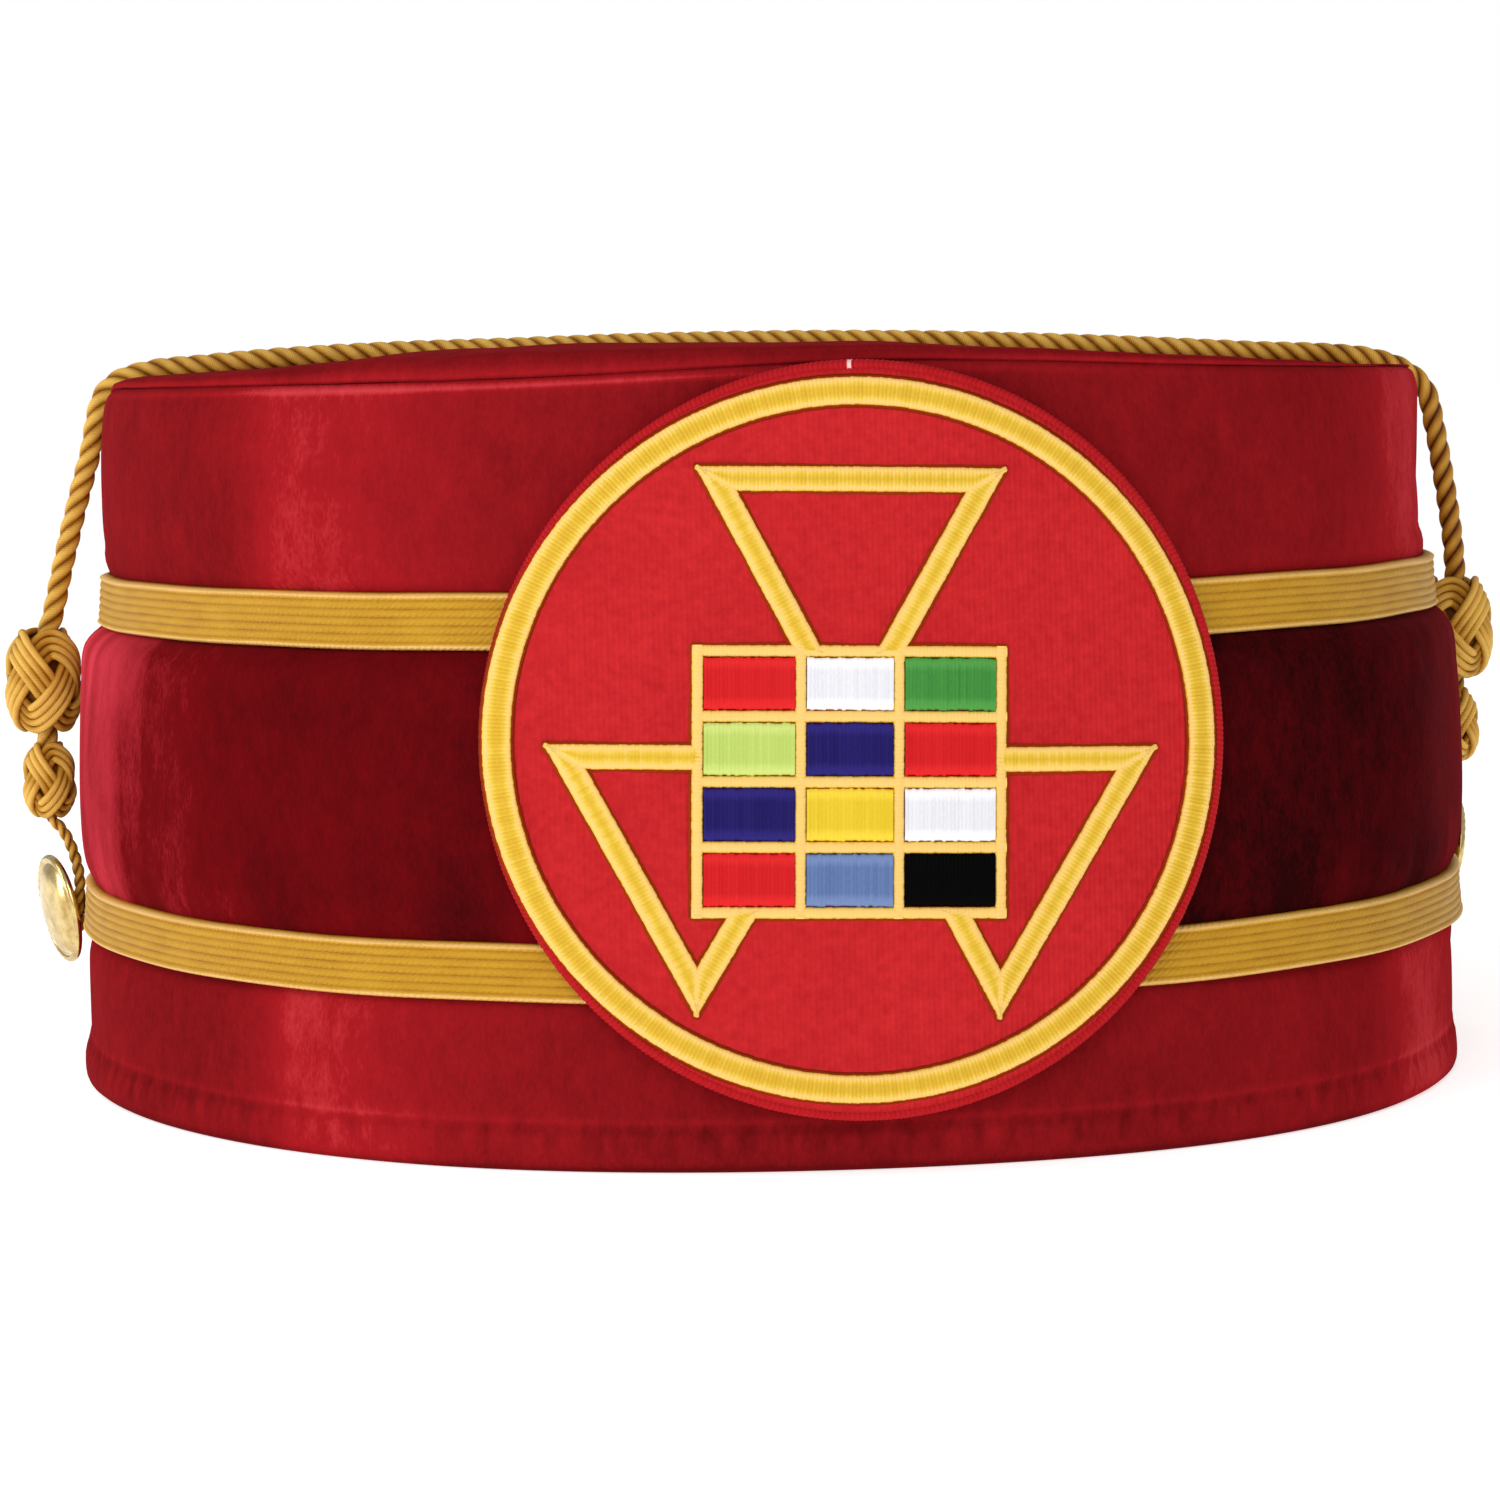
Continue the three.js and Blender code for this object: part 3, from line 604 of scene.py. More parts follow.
TOP_UNDERSIDE = [(-84, 86.5), (-44, 86.2), (-8, 85.6), (-4, 85.4)]
TOP_OUTSIDE = [
    (-3.25, 85.38), (-3.05, 85.65), (-3.3, 86.2), (-4.4, 86.6), (-11, 86.95), (-26, 87.5), (-46, 87.9),
    (-70, 88.1), (-84, 88.12),
]


def velvet_top(finish):
    """The soft top: a little slack in the middle, with dimples inside its seam, which carries a painted
    highlight.
    """
    angles, along = oval_columns(TOP_STEPS)
    offset, height, is_under = section_rows(spline(TOP_UNDERSIDE, 8), spline(TOP_OUTSIDE, 2))
    reach = np.clip((offset + HALF_WIDTH) / 30, 0, 1)
    dimple = -0.22 * near(offset, -7, 3) * (0.6 + 0.4 * ripples(along, 13, 31))
    slack = 0.18 * reach * near(offset, -24, 18) * ripples(along, 40, 32)
    points = on_oval(offset, angles, height)
    points[..., 2] += np.where(is_under, 0.0, dimple + slack)
    # A painted highlight on the seam's rolled edge.
    tone = 0.3 + 0.4 * near(offset, -3, 0.12) * ~is_under
    shape = Shape().grid(points, ring=True, tube=False, tone=tone)
    return place(shape.make("velvet_top", [finish], merge=True), "velvet", "crown_top")


# ------------ tapes

def tape(name, groove, finish):
    """A flat braid of round ribs side by side, a little uneven, with rolled edges."""
    angles, along = oval_columns(TAPE_STEPS)
    middle, back = groove[0], groove[1] + 0.15
    share = np.linspace(0, 1, 6 * TAPE_RIBS + 1)
    rib = np.abs(np.sin(math.pi * TAPE_RIBS * share))
    height = middle + TAPE_WIDTH * (share - 0.5)
    inward = np.minimum(share, 1 - share)
    edge = np.clip(inward / 0.06, 0, 1) ** 0.5
    out = 0.25 + (TAPE_THICKNESS - 0.3) * edge + 0.2 * rib**0.7 + 0.12 * near(inward, 0.07, 0.04)
    # The tone paints light: painted highlight on the ribs' backs and the rolled edges, painted shade in the
    # grooves and where the edges turn under.
    tone = 0.45 + 0.45 * rib**0.6 + 0.8 * near(inward, 0.055, 0.05)
    tone[[0, -1]] = 0.0
    offset = np.concatenate([back + out, [back, back, back]])
    height = np.concatenate([height, middle + TAPE_WIDTH * np.array([0.49, 0.0, -0.49])])
    lean = groove_offset(height) - groove[1]
    wobble = 0.12 * ripples(along, 60, 51)
    row = np.floor(TAPE_RIBS * (height - middle) / TAPE_WIDTH)
    plait = 0.04 * np.sin(TURN * along / 1.8 + 2.1 * row) * (np.arange(len(offset)) < len(share))
    points = on_oval(offset + lean + plait, angles, height + wobble)
    shape = Shape().grid(points, ring=True, tone=np.concatenate([tone, [0.3] * 3])[None, :])
    return place(shape.make(name + "_braid", [finish]), "gold_tape", name)


# ------------ emblem

def patch_frame():
    """Where the patch's own flat frame stands: x across, z up, and y back from the front."""
    back = groove_offset(EMBLEM_HEIGHT) + TAPE_THICKNESS + 3 * GAP
    y = -(HALF_DEPTH - FRONT_PRESS + back) - FORWARD
    lean = math.atan2(LOWER_GROOVE[1] - UPPER_GROOVE[1], UPPER_GROOVE[0] - LOWER_GROOVE[0])
    turned = Matrix.Rotation(-lean, 4, "X") @ Matrix.Rotation(EMBLEM_TURN, 4, "Y")
    return np.array(Matrix.Translation((EMBLEM_ACROSS, y, EMBLEM_HEIGHT)) @ turned)


PATCH_FRAME = patch_frame()


def on_patch(x, z, front):
    """Points of the patch as drawn from the front, this far in front of its back."""
    bent = EMBLEM_BEND - np.sqrt(EMBLEM_BEND**2 - x**2)
    local = np.stack([x, bent - front, z], -1)
    return local @ PATCH_FRAME[:3, :3].T + PATCH_FRAME[:3, 3]


STITCH_BACK = PATCH_THICKNESS + 0.02
THREAD_STEPS = 4  # sections across one thread
EDGE_ROUND = 0.6  # how far in from its edges a field is rounded
EDGE_STEPS = np.array([0, 0.04, 0.13, 0.3, 0.55]) / 0.55
FOOT_NEAR, FOOT = 0.02, 0.36  # where the sunken threads beside a field start and end
# The tone of the sunken threads beside a field is a painted shadow where they go down into the cloth.
FOOT_LIFTS, FOOT_SHADOW_TONE = [0.03, 0.1], -1.0
RAGGED = 0.06  # how unevenly the threads end


def edge_height(inward, reach):
    """How high a stitched field stands at this distance from its edge: rounded, then flat."""
    share = np.clip(inward / reach, 0, 1)
    return STITCH_THICKNESS * (0.3 + 0.7 * np.sqrt(1 - (1 - share) ** 2))


def ridges(turn):
    """1 on the back of each thread and 0 in the grooves beside it, for its turn from groove to groove."""
    return np.sqrt(np.abs(np.sin(turn)))[:, None]


def thread_lift(share, ridge):
    """How far a thread lies above or below its field, from its own random share and lower in its grooves."""
    return 0.03 * (share - 0.5) - 0.08 * (1 - ridge)


def thread_tone(share, ridge):
    """A thread's tone, from its own random share, with a painted highlight on its back and painted shade in
    its grooves.
    """
    return 0.25 + 0.2 * share + 0.2 * ridge


def turn_highlight_tone(inward):
    """A painted highlight: paler where the threads turn over at both edges of a field."""
    return 0.8 * near(inward, 0.35, 0.3)


def with_foot(t, lift, tone, back):
    """A field's sections, with the foot on each side where the threads go down into the cloth, toned dark as
    a painted shadow, and the hidden back, which reaches this far past the field."""
    first, last = t[:, :1], t[:, -1:]
    foot, sunk = np.broadcast_to(FOOT_LIFTS, (len(t), 2)), np.full((len(t), 2), FOOT_SHADOW_TONE)
    t = [first - FOOT, first - FOOT_NEAR, t, last + FOOT_NEAR, last + FOOT, last + back, first - back]
    lift = [foot, lift, foot[:, ::-1], 0 * foot + PATCH_THICKNESS - STITCH_BACK]
    return np.concatenate(t, 1), np.concatenate(lift, 1), np.concatenate([sunk, tone, sunk, sunk], 1)


def stitched(shape, start, end, width, keep=(), seed=0, reach=EDGE_ROUND, raised=0.0, ragged=RAGGED):
    """A field of threads lying side by side along start-end, each running inward from that edge by width.
    keep lists the lines (point, direction kept) that the threads are cut along."""
    draw = np.random.default_rng(seed)
    start, end = np.asarray(start, float), np.asarray(end, float)
    length, way = np.linalg.norm(end - start), unit(end - start)
    inward = np.array([-way[1], way[0]])
    threads = max(2, round(length / THREAD_PITCH))
    count = threads * THREAD_STEPS + 1
    at = np.linspace(0, length, count)
    number = np.minimum(np.arange(count) // THREAD_STEPS, threads - 1)
    outer = start + at[:, None] * way
    low = ragged * draw.random(threads)[number]
    high = width - ragged * draw.random(threads)[number]
    for point, direction in keep:
        direction = unit(direction)
        inside = (outer - point) @ direction
        slope = inward @ direction
        if abs(slope) < 1e-9:
            high = np.where(inside < 0, low, high)
        elif slope > 0:
            low = np.maximum(low, -inside / slope)
        else:
            high = np.minimum(high, -inside / slope)
    used = np.flatnonzero(high - low > 0.12)
    outer, low, high, at, number = outer[used], low[used], high[used], at[used], number[used]
    across = high - low
    band = np.minimum(across / 2, reach)[:, None] * EDGE_STEPS
    inner_steps = max(0, round(width / 1.1) - 1)
    mid = np.linspace(0, 1, inner_steps + 2)[1:-1]
    middle = band[:, -1:] + (across[:, None] - 2 * band[:, -1:]) * mid
    t = np.concatenate([band, middle, across[:, None] - band[:, ::-1]], 1)
    ridge = ridges(math.pi * at / THREAD_PITCH)
    from_edge = np.minimum(t, across[:, None] - t)
    lift = edge_height(from_edge, np.minimum(reach, across / 2)[:, None])
    lift = lift + raised + thread_lift(draw.random(threads)[number][:, None], ridge)
    tone = thread_tone(draw.random(threads)[number][:, None], ridge) + turn_highlight_tone(from_edge)
    t, lift, tone = with_foot(t, lift, tone, FOOT)
    flat = outer[:, None] + (low[:, None] + t)[..., None] * inward
    shape.grid(on_patch(flat[..., 0], flat[..., 1], STITCH_BACK + lift), caps=True, tone=tone)


def stitched_ring(inner, outer, across, stretch, finish):
    """The ring of threads, each running from its inner to its outer edge."""
    draw = np.random.default_rng(51)
    threads = round(TURN * (inner + outer) / 2 / THREAD_PITCH)
    count = threads * THREAD_STEPS
    number, angle = np.arange(count) // THREAD_STEPS, np.arange(count) * TURN / count
    ragged = RAGGED * draw.random((2, threads))[:, number]
    width = outer - inner
    band = EDGE_ROUND * EDGE_STEPS
    middle = np.linspace(band[-1], width - band[-1], 4)[1:-1]
    t = np.concatenate([band, middle, width - band[::-1]])[None, :]
    radius = inner + t + ragged[0][:, None] * (t < 0.1) - ragged[1][:, None] * (t > width - 0.1)
    ridge = ridges(angle * threads / 2)
    lift = edge_height(np.minimum(t, width - t), EDGE_ROUND)
    lift = lift + thread_lift(draw.random(threads)[number][:, None], ridge)
    tone = thread_tone(draw.random(threads)[number][:, None], ridge) + turn_highlight_tone(np.minimum(t, width - t))
    radius, lift, tone = with_foot(radius, lift, tone, 0)
    x, z = across + stretch * radius * np.cos(angle)[:, None], radius * np.sin(angle)[:, None]
    shape = Shape().grid(on_patch(x, z, STITCH_BACK + lift), ring=True, tone=tone)
    return place(shape.make("ring_stitches", [finish], inside_out=True), "gold_thread", "emblem_ring")


RING = (35.8, 38.8, -0.45, 1.03)  # inner, outer, across, stretch
TRIANGLE_LINE, MITRE_LAP, ONTO_FRAME = 2.7, 0.3, 0.9  # and its laps at corners and frame
TRIANGLES = [  # name, corners at the left, at the point and at the right, and where its strokes are cut
    ("top", (-18.05, 29.2), (-1.6, -1.3), (15.55, 29.2), ("above", "above", None)),
    ("left", (-33.95, -0.5), (-17.7, -29.7), (-0.7, -0.65), (None, "below", "left_of")),
    ("right", (-1.1, -0.9), (14.9, -30), (32.7, -0.5), ("below", None, "right_of")),
]
FRAME_LEFT, FRAME_BOTTOM, FRAME_WIDTH, FRAME_HEIGHT, FRAME_LINE = -18.3, -19.1, 33.9, 29.2, 1.25
STONE_WIDTHS = [9.7, 9.3, 9.9]
STONE_HEIGHT = (FRAME_HEIGHT - 5 * FRAME_LINE) / 4
STONES = [
    ["red", "white", "green"],
    ["lime", "navy", "red"],
    ["navy", "yellow", "white"],
    ["red", "blue", "black"],
]
STONE_THREADS = {  # painted shade, painted light, and the painted shadow where the thread goes down into the cloth
    "red": [(188, 20, 26), (226, 42, 44), (96, 6, 8)],
    "white": [(212, 212, 220), (250, 250, 254), (90, 80, 70)],
    "green": [(40, 118, 48), (84, 158, 74), (20, 50, 20)],
    "lime": [(170, 198, 84), (208, 226, 126), (90, 80, 30)],
    "navy": [(18, 12, 70), (48, 40, 118), (10, 6, 30)],
    "yellow": [(216, 180, 28), (246, 214, 66), (110, 60, 10)],
    "blue": [(68, 96, 148), (118, 140, 188), (30, 40, 70)],
    "black": [(1, 1, 1), (3, 3, 4), (1, 1, 1)],
}


def triangle(name, left, point, right, cuts, finish):
    """Three satin-stitched strokes, mitred at the corners and cut off where they run onto the frame."""
    corners = np.array([left, point, right], float)
    ends = {
        "above": ((0, FRAME_BOTTOM + FRAME_HEIGHT - ONTO_FRAME), (0, 1)),
        "below": ((0, FRAME_BOTTOM + ONTO_FRAME), (0, -1)),
        "left_of": ((FRAME_LEFT + ONTO_FRAME, 0), (-1, 0)),
        "right_of": ((FRAME_LEFT + FRAME_WIDTH - ONTO_FRAME, 0), (1, 0)),
    }
    shape = Shape()
    for k, cut in enumerate(cuts):
        start, end, third = corners[k], corners[(k + 1) % 3], corners[(k + 2) % 3]
        keep = [mitre(start, end, third), mitre(end, start, third)]
        if cut:
            keep.append(ends[cut])
        stitched(shape, start, end, TRIANGLE_LINE, keep, seed=60 + k, raised=0.05)
    made = shape.make(f"triangle_{name}_stitches", [finish])
    return place(made, "gold_thread", f"emblem_triangle_{name}")


def mitre(corner, along, other):
    """The line that halves a corner, as a point and the direction of the side that runs to along."""
    kept = unit(along - corner) - unit(other - corner)
    return corner - MITRE_LAP * unit(kept), kept


def stone_frame(finish):
    """The five bars across, and the four upright ones sewn over them."""
    shape = Shape()
    right, top = FRAME_LEFT + FRAME_WIDTH, FRAME_BOTTOM + FRAME_HEIGHT
    for k in range(5):
        low = FRAME_BOTTOM + k * (STONE_HEIGHT + FRAME_LINE)
        stitched(shape, (FRAME_LEFT, low), (right, low), FRAME_LINE, seed=80 + k, reach=0.5)
    left = FRAME_LEFT
    for k, width in enumerate([*STONE_WIDTHS, 0]):
        edge = left + FRAME_LINE
        stitched(shape, (edge, FRAME_BOTTOM), (edge, top), FRAME_LINE, seed=90 + k, reach=0.5, raised=0.06)
        left += width + FRAME_LINE
    return place(shape.make("frame_stitches", [finish]), "gold_thread", "emblem_frame")


def stones():
    """Twelve fields of upright threads, each a piece of its own."""
    threads = {}
    for colour, (deep, light, hole_shadow) in STONE_THREADS.items():
        threads[colour] = thread(f"{colour}_thread", rgb(*deep), rgb(*light), hole_shadow=rgb(*hole_shadow))
    for row, colours in enumerate(STONES):
        left = FRAME_LEFT + FRAME_LINE
        low = FRAME_BOTTOM + FRAME_LINE + (3 - row) * (STONE_HEIGHT + FRAME_LINE)
        for column, colour in enumerate(colours):
            right = left + STONE_WIDTHS[column]
            shape = Shape()
            seed = 100 + 10 * row + column
            stitched(shape, (left, low), (right, low), STONE_HEIGHT, seed=seed, reach=0.5, ragged=0.16)
            name = f"stone_{row + 1}{column + 1}"
            place(shape.make(name + "_stitches", [threads[colour]]), colour + "_thread", name)
            left = right + FRAME_LINE


def patch(cloth):
    """The disc of cloth, a closed sheet a little wavy between the stitched fields."""
    angle = np.linspace(0, TURN, 160, endpoint=False)[:, None]
    edge = EMBLEM_RADIUS - 2 * BORDER_RADIUS + 0.3
    face, back = np.linspace(0, edge, 32), np.linspace(edge, 0, 6)
    radius = np.concatenate([face, back])[None, :]
    wave = 0.07 * np.sin(radius / 3.1 + 1.7 * np.sin(3 * angle))
    front = np.where(np.arange(radius.size) < face.size, PATCH_THICKNESS + wave, 0.0)
    points = on_patch(radius * np.cos(angle), radius * np.sin(angle), front)
    shape = Shape().grid(points, ring=True, tube=False)
    return place(shape.make("patch_cloth", [cloth], inside_out=True, merge=True), "red_twill", "patch_base")


def overlocked_edge(finish):
    """Threads wrapped round the patch's edge, side by side and a little slanted."""
    wraps = round(TURN * EMBLEM_RADIUS / 0.55)
    count = wraps * THREAD_STEPS
    draw = np.random.default_rng(71)
    angle = np.arange(count)[:, None] * TURN / count
    around = np.arange(12)[None, :] * TURN / 12
    slanted = angle + 0.006 * np.sin(around)
    ridge = ridges(angle[:, 0] * wraps / 2)
    uneven = draw.random((2, wraps))[:, np.arange(count) // THREAD_STEPS][..., None]
    size = BORDER_RADIUS * (0.86 + 0.16 * ridge + 0.05 * uneven[0])
    radius = EMBLEM_RADIUS - BORDER_RADIUS + size * np.cos(around)
    front = PATCH_THICKNESS / 2 + 1.25 * size * np.sin(around)
    points = on_patch(radius * np.cos(slanted), radius * np.sin(slanted), front)
    pale_end = 1.2 * near(angle, TURN / 4 + 0.036, 0.005)
    shape = Shape().grid(points, ring=True, tone=thread_tone(uneven[1], ridge) + pale_end)
    return place(shape.make("overlocked_edge", [finish], inside_out=True), "red_twill", "patch_border")


# ------------ cord, knots, loops, buttons

CORD_ROUTE = [  # out on the left, out on the right, height, whether it moves with the side's lift
    (14, 6, 90, 0), (30, 22, 89.7, 0), (48, 30.5, 89.4, 0), (62, 44, 88.8, 0), (70, 55, 88.2, 0),
    (76, 63, 87.7, 0), (80.4, 80, 86.5, 0), (82.5, 85, 84.6, 0), (83.4, 87.4, 82, 0), (84.2, 88.4, 78, 0),
    (86.3, 89.7, 70.5, 0), (88.1, 90.7, 63.5, 0), (89.6, 91, 58.5, 1), (90.8, 91.1, 54.5, 1),
    (91.1, 91.1, 50, 1), (90.9, 90.9, 44.8, 1), (90.69, 90.69, 41, 1), (90.66, 90.66, 37.4, 1),
    (90.66, 90.66, 33.8, 1),
]


def cord_route():
    """Up the left side, over the top behind its middle, and down the right side."""
    runs = []
    for k, (_, way, back, lift, _) in enumerate(SIDES):
        run = []
        for row in CORD_ROUTE:
            y = CORD_BACK + (back - CORD_BACK) * min(1.0, row[k] / HALF_WIDTH)
            run.append((way * row[k], y - FORWARD, row[2] + lift * row[3]))
        runs.append(run)
    return spline([*runs[0][::-1], *runs[1]], 0.5)


def twisted(shape, route, radius, strands, lay, sides, groove=0.76):
    """Strands laid round each other along a route, pressed together in the middle. Their tone is painted
    shade: dark deep between the strands and light on their outsides.
    """
    path, run = resample(route, lay / 22)
    _, across, other = sweep(path, 0, 3)
    strand = 0.6 * radius
    off = radius - strand
    for k in range(strands):
        turn = TURN * (run / lay + k / strands)
        middle = path + off * (np.cos(turn)[:, None] * across + np.sin(turn)[:, None] * other)
        points, *_ = sweep(middle, strand, sides)
        depth = np.linalg.norm(points - path[:, None], axis=2) / radius
        shape.grid(points, caps=True, tone=np.clip((depth - groove) / (1 - groove), 0, 1))


def rope(finish):
    """The cord from end to end, with painted shade that darkens it towards its right end, away from the side
    light.
    """
    route = cord_route()
    shape = Shape()
    twisted(shape, route, CORD_RADIUS, 3, CORD_LAY, 12)
    right = np.vstack(shape.points)[:, 0]
    # Painted shade: the tone drops towards the right end, away from the side light.
    shape.tones = [np.concatenate(shape.tones) - 0.3 * np.clip(right / 30 - 2, 0, 1)]
    return place(shape.make("twisted_cord", [finish]), "gold_cord", "cord"), route


KNOTS = [  # name, out, height, radius, length, waist above, waist below, strands side by side, their pitch
    ("knot_large", 91, 50.1, 5.1, 12.8, 0.68, 0.68, 4, 0.95),
    ("knot_small", 90.66, 37.4, 3.6, 9.4, 0.62, 0.6, 3, 0.85),
]
LEADS, BIGHTS = 3, 4  # times round, and loops at each end


def knot(spec, side, finish):
    """A woven slide of three leads: one line goes three times round, in and out of itself, and is
    followed by its other strands."""
    name, out, height, radius, length, waist, foot, strands, pitch = spec
    side_name, way, back, lift, _ = side
    thick = pitch * 0.54
    reach = length / 2 - strands * pitch / 2 * 0.9
    around = np.linspace(0, LEADS * TURN, 720, endpoint=False)
    phase = BIGHTS * around / LEADS
    weave = np.sin(2 * phase) * 0.42

    def bulge(up):
        """The radius of the knot's outside at this height from its middle."""
        narrow = np.where(up < 0, foot, waist)
        return radius * (1 - (1 - narrow) * np.abs(np.clip(2 * up / length, -1, 1)) ** 2.4)

    def surface(angle, up, depth):
        """Points this far outside the middle layer of the strands."""
        far = bulge(up) - thick - 0.45 + depth
        return np.stack([far * np.cos(angle), far * np.sin(angle), up], -1)

    up = reach * np.sin(phase)
    line = surface(around, up, weave)
    ahead = unit(np.roll(line, -1, 0) - np.roll(line, 1, 0))
    outward = np.stack([np.cos(around), np.sin(around), 0 * around], -1)
    beside = unit(np.cross(outward, ahead))
    shape = Shape()
    middle = np.array([way * out, back - FORWARD, height + lift])
    turn, rise = np.meshgrid(np.arange(24) * TURN / 24, np.linspace(1, -1, 15) * (reach + 0.4))
    core = surface(turn, rise, -thick - 0.3) * [way, 1, 1] + middle
    # The core between the strands is toned dark as painted shade.
    shape.grid(core, caps=True, tone=0.12)
    for k in range(strands):
        shift = (k - (strands - 1) / 2) * pitch
        flat = line + shift * beside
        angle, z = np.arctan2(flat[:, 1], flat[:, 0]), flat[:, 2]
        path = surface(angle, z, weave)
        points, *_ = sweep(np.vstack([path, path[:2]]), thick, 8)
        points = points[:-2] * [way, 1, 1] + middle
        # Painted shade: strands are darker where they sink below the knot's outside.
        axis_distance = np.linalg.norm((points - middle)[..., :2], axis=2)
        sunk = bulge(points[..., 2] - middle[2]) - axis_distance
        shape.grid(points, ring=True, tone=np.clip(1.1 - sunk / 1.5, 0, 1.1))
    made = shape.make(f"{name}_{side_name}_strands", [finish], inside_out=way < 0)
    return place(made, "gold_cord", f"{name}_{side_name}")


def end_loop(side, finish):
    """The thin two-strand loop from under the small knot round the button's shank."""
    side_name, way, back, lift, _ = side
    _, out, height, _, length, *_ = KNOTS[1]
    start = height - length / 2 - 0.1
    turned = BUTTON_SHANK + 1.5 * GAP + LOOP_RADIUS
    half = [
        (out, 0.9, start),
        (88.9, 1.1, start - 2.1),
        (SHANK_OUT, 2.0, BUTTON_HEIGHT + 4.5),
        (SHANK_OUT, turned, BUTTON_HEIGHT + 0.4),
        (SHANK_OUT, turned * 0.72, BUTTON_HEIGHT - turned * 0.72),
    ]
    y = back - FORWARD
    strand = [[(way * x, y + s * apart, z + lift) for x, apart, z in half] for s in (-1, 1)]
    points = [*strand[0], (way * SHANK_OUT, y, BUTTON_HEIGHT - turned + lift), *strand[1][::-1]]
    shape = Shape()
    twisted(shape, spline(points, 0.4), LOOP_RADIUS, 2, 3.2, 8, groove=0.5)
    return place(shape.make(f"loop_{side_name}_strands", [finish]), "gold_cord", f"end_loop_{side_name}")


BUTTON_HEIGHT, BUTTON_OUT, BUTTON_FOOT, BUTTON_SHANK, BUTTON_TILT = 21.1, 89.3, 86.45, 1.5, 0.17
BUTTON_PROFILE = [  # radius, out
    (1.5, 0.0), (6.4, 0.0), (6.85, 0.12), (7.0, 0.45), (6.85, 0.82), (6.5, 0.98), (6.2, 0.86), (6.05, 0.72),
    (5.7, 0.98), (5.0, 1.36), (4.0, 1.7), (2.8, 1.93), (1.4, 2.06), (0, 2.1),
]


def button(side, finish):
    """A domed metal button with a rolled rim, tilted on its shank."""
    side_name, way, back, lift, facing = side
    foot = BUTTON_FOOT - BUTTON_OUT
    shank = [(0, foot), (BUTTON_SHANK, foot)]
    radius, outward, _ = section_rows(shank, spline(BUTTON_PROFILE, 0.22))
    angle = np.linspace(0, TURN, 72, endpoint=False)[:, None]
    beaded = 0.05 * np.cos(36 * angle) * near(radius, 6.6, 0.35) * (outward > 0.3)
    local = np.stack([outward + beaded, radius * np.cos(angle), radius * np.sin(angle)], -1)
    turned = Matrix.Rotation(-facing, 3, "Z") @ Matrix.Rotation(BUTTON_TILT, 3, "Y")
    local = local @ np.array(turned).T * [way, 1, 1]
    y = back - (BUTTON_OUT - SHANK_OUT) * math.tan(facing) - FORWARD
    middle = np.array([way * BUTTON_OUT, y, BUTTON_HEIGHT + lift])
    shape = Shape().grid(local + middle, ring=True, tube=False)
    made = shape.make(f"button_{side_name}_metal", [finish], inside_out=way > 0, merge=True)
    return place(made, "brass", f"button_{side_name}")


# ------------ stage: camera, floor, light

VIEW = dict(azimuth=-5.56, elevation=4.37, roll=-1.03, distance=608.8, across=-2.02, height=38.26, lens=115.1)
STUDIO_LIGHT, FLOOR_GLOW, FLOOR_RADIUS = 0.465, 0.62, 20000


def direction(azimuth, elevation):
    """The way out from the cap, in radians round from its front and up."""
    flat = math.cos(elevation)
    return Vector((math.sin(azimuth) * flat, -math.cos(azimuth) * flat, math.sin(elevation)))


def camera():
    azimuth, elevation, roll = (math.radians(VIEW[k]) for k in ("azimuth", "elevation", "roll"))
    back = direction(azimuth, elevation)
    aim = Vector((VIEW["across"] * math.cos(azimuth), VIEW["across"] * math.sin(azimuth), VIEW["height"]))
    aim.y -= FORWARD
    right = (-back).cross(Vector((0, 0, 1))).normalized()
    up = right.cross(-back)
    turned = Matrix.Rotation(roll, 3, back)
    right, up = turned @ right, turned @ up
    data = bpy.data.cameras.new("camera")
    data.lens, data.sensor_width = VIEW["lens"], 36
    data.clip_start, data.clip_end = 0.01, 50
    made = add("camera", data)
    facing = Matrix((right, up, back)).transposed().to_4x4()
    made.matrix_world = Matrix.Translation((aim + VIEW["distance"] * back) * MM) @ facing
    bpy.context.scene.camera = made


def softbox(name, azimuth, elevation, distance, size, power):
    """A square light in metres and watts, facing the middle of the cap."""
    data = bpy.data.lights.new(name, "AREA")
    data.shape, data.size, data.size_y = "RECTANGLE", *size
    data.energy = power
    made = add(name, data)
    way = direction(math.radians(azimuth), math.radians(elevation))
    made.location = Vector((0, 0, 0.045)) + way * distance
    made.rotation_euler = way.to_track_quat("Z", "Y").to_euler()


def floor():
    """A wide white floor, which glows a little so that it meets the backdrop without an edge."""
    made = Finish("pale_floor", Roughness=0.9, Specular_IOR_Level=0.1)
    made.shader.inputs["Base Color"].default_value = (0.9, 0.9, 0.9, 1)
    made.shader.inputs["Emission Color"].default_value = (1, 1, 1, 1)
    made.shader.inputs["Emission Strength"].default_value = FLOOR_GLOW
    angle = np.arange(64) * TURN / 64
    rim = np.stack([FLOOR_RADIUS * np.cos(angle), FLOOR_RADIUS * np.sin(angle), 0 * angle - 0.05], -1)
    mesh = bpy.data.meshes.new("floor")
    mesh.from_pydata((rim * MM).tolist(), [], [list(range(angle.size))])
    mesh.materials.append(made.material)
    add("floor", mesh)


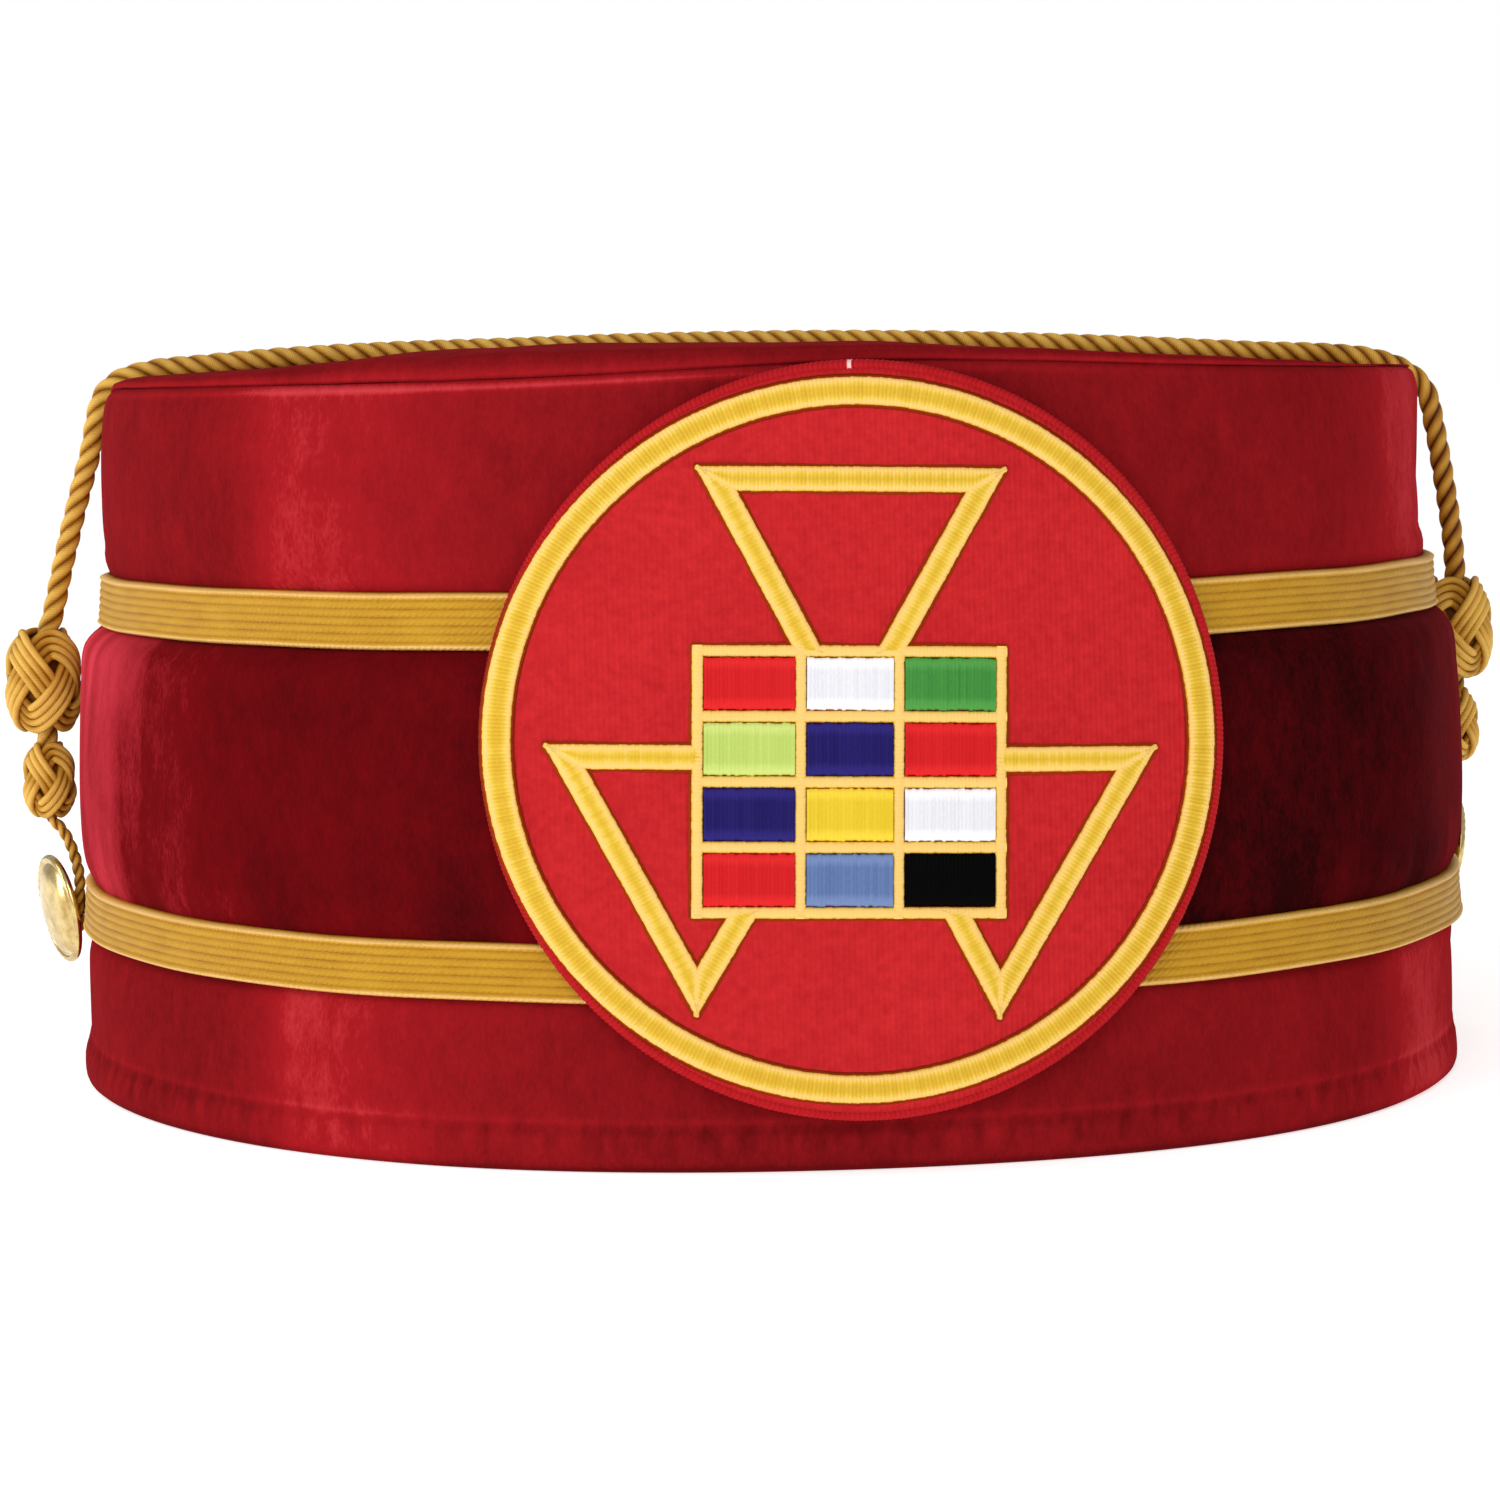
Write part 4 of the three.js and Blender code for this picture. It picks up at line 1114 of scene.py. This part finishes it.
def backdrop():
    """A white backdrop, whose light on the cap is dimmer than it looks."""
    world = bpy.data.worlds.new("studio")
    world.use_nodes = True
    nodes, links = world.node_tree.nodes, world.node_tree.links
    lit, seen = nodes["Background"], nodes.new("ShaderNodeBackground")
    lit.inputs["Color"].default_value = seen.inputs["Color"].default_value = (1, 1, 1, 1)
    lit.inputs["Strength"].default_value = STUDIO_LIGHT
    seen.inputs["Strength"].default_value = 1.0
    straight, either = nodes.new("ShaderNodeLightPath"), nodes.new("ShaderNodeMixShader")
    links.new(straight.outputs["Is Camera Ray"], either.inputs[0])
    links.new(lit.outputs[0], either.inputs[1])
    links.new(seen.outputs[0], either.inputs[2])
    links.new(either.outputs[0], nodes["World Output"].inputs["Surface"])
    bpy.context.scene.world = world


def stage():
    camera()
    floor()
    backdrop()
    softbox("side_light", -95, 14, 0.9, (0.25, 0.7), 2.3)
    softbox("front_light", -20, 26, 1.3, (0.8, 0.8), 5.6)
    bpy.context.scene.view_settings.view_transform = "Standard"


# ------------ the cap

def dress():
    # Each velvet's third colour is its painted glow; the gold thread's third colour is the painted highlight
    # where threads turn over, and its fourth the painted shadow where they go into the cloth.
    crimson = velvet("velvet", rgb(100, 15, 18), rgb(174, 29, 36), rgb(216, 78, 84), 0.14)
    maroon = velvet("dark_velvet", rgb(40, 7, 9), rgb(124, 13, 19), rgb(206, 58, 72), 0.16)
    gold = thread("gold_thread", rgb(206, 150, 34), rgb(240, 206, 72), rgb(252, 206, 120), rgb(156, 52, 16))
    cord_finish = cord_thread()
    metal = brass()

    twisted_cord, route = rope(cord_finish)
    on_cord = [knot(spec, side, cord_finish) for side in SIDES for spec in KNOTS]
    on_cord += [end_loop(side, cord_finish) for side in SIDES]
    length = float(np.linalg.norm(np.diff(route, axis=0), axis=1).sum()) * MM

    velvet_wall(crimson, lining())
    velvet_band(maroon)
    velvet_top(crimson)
    ribbed = braid_tape()
    tape("tape_lower", LOWER_GROOVE, ribbed)
    tape("tape_upper", UPPER_GROOVE, ribbed)

    patch(twill())
    overlocked_edge(thread("red_edge_thread", rgb(160, 18, 24), rgb(196, 34, 40), rgb(246, 206, 200)))
    stitched_ring(*RING, gold)
    for row in TRIANGLES:
        triangle(*row, gold)
    stone_frame(gold)
    stones()
    for side in SIDES:
        button(side, metal)


stage()
dress()
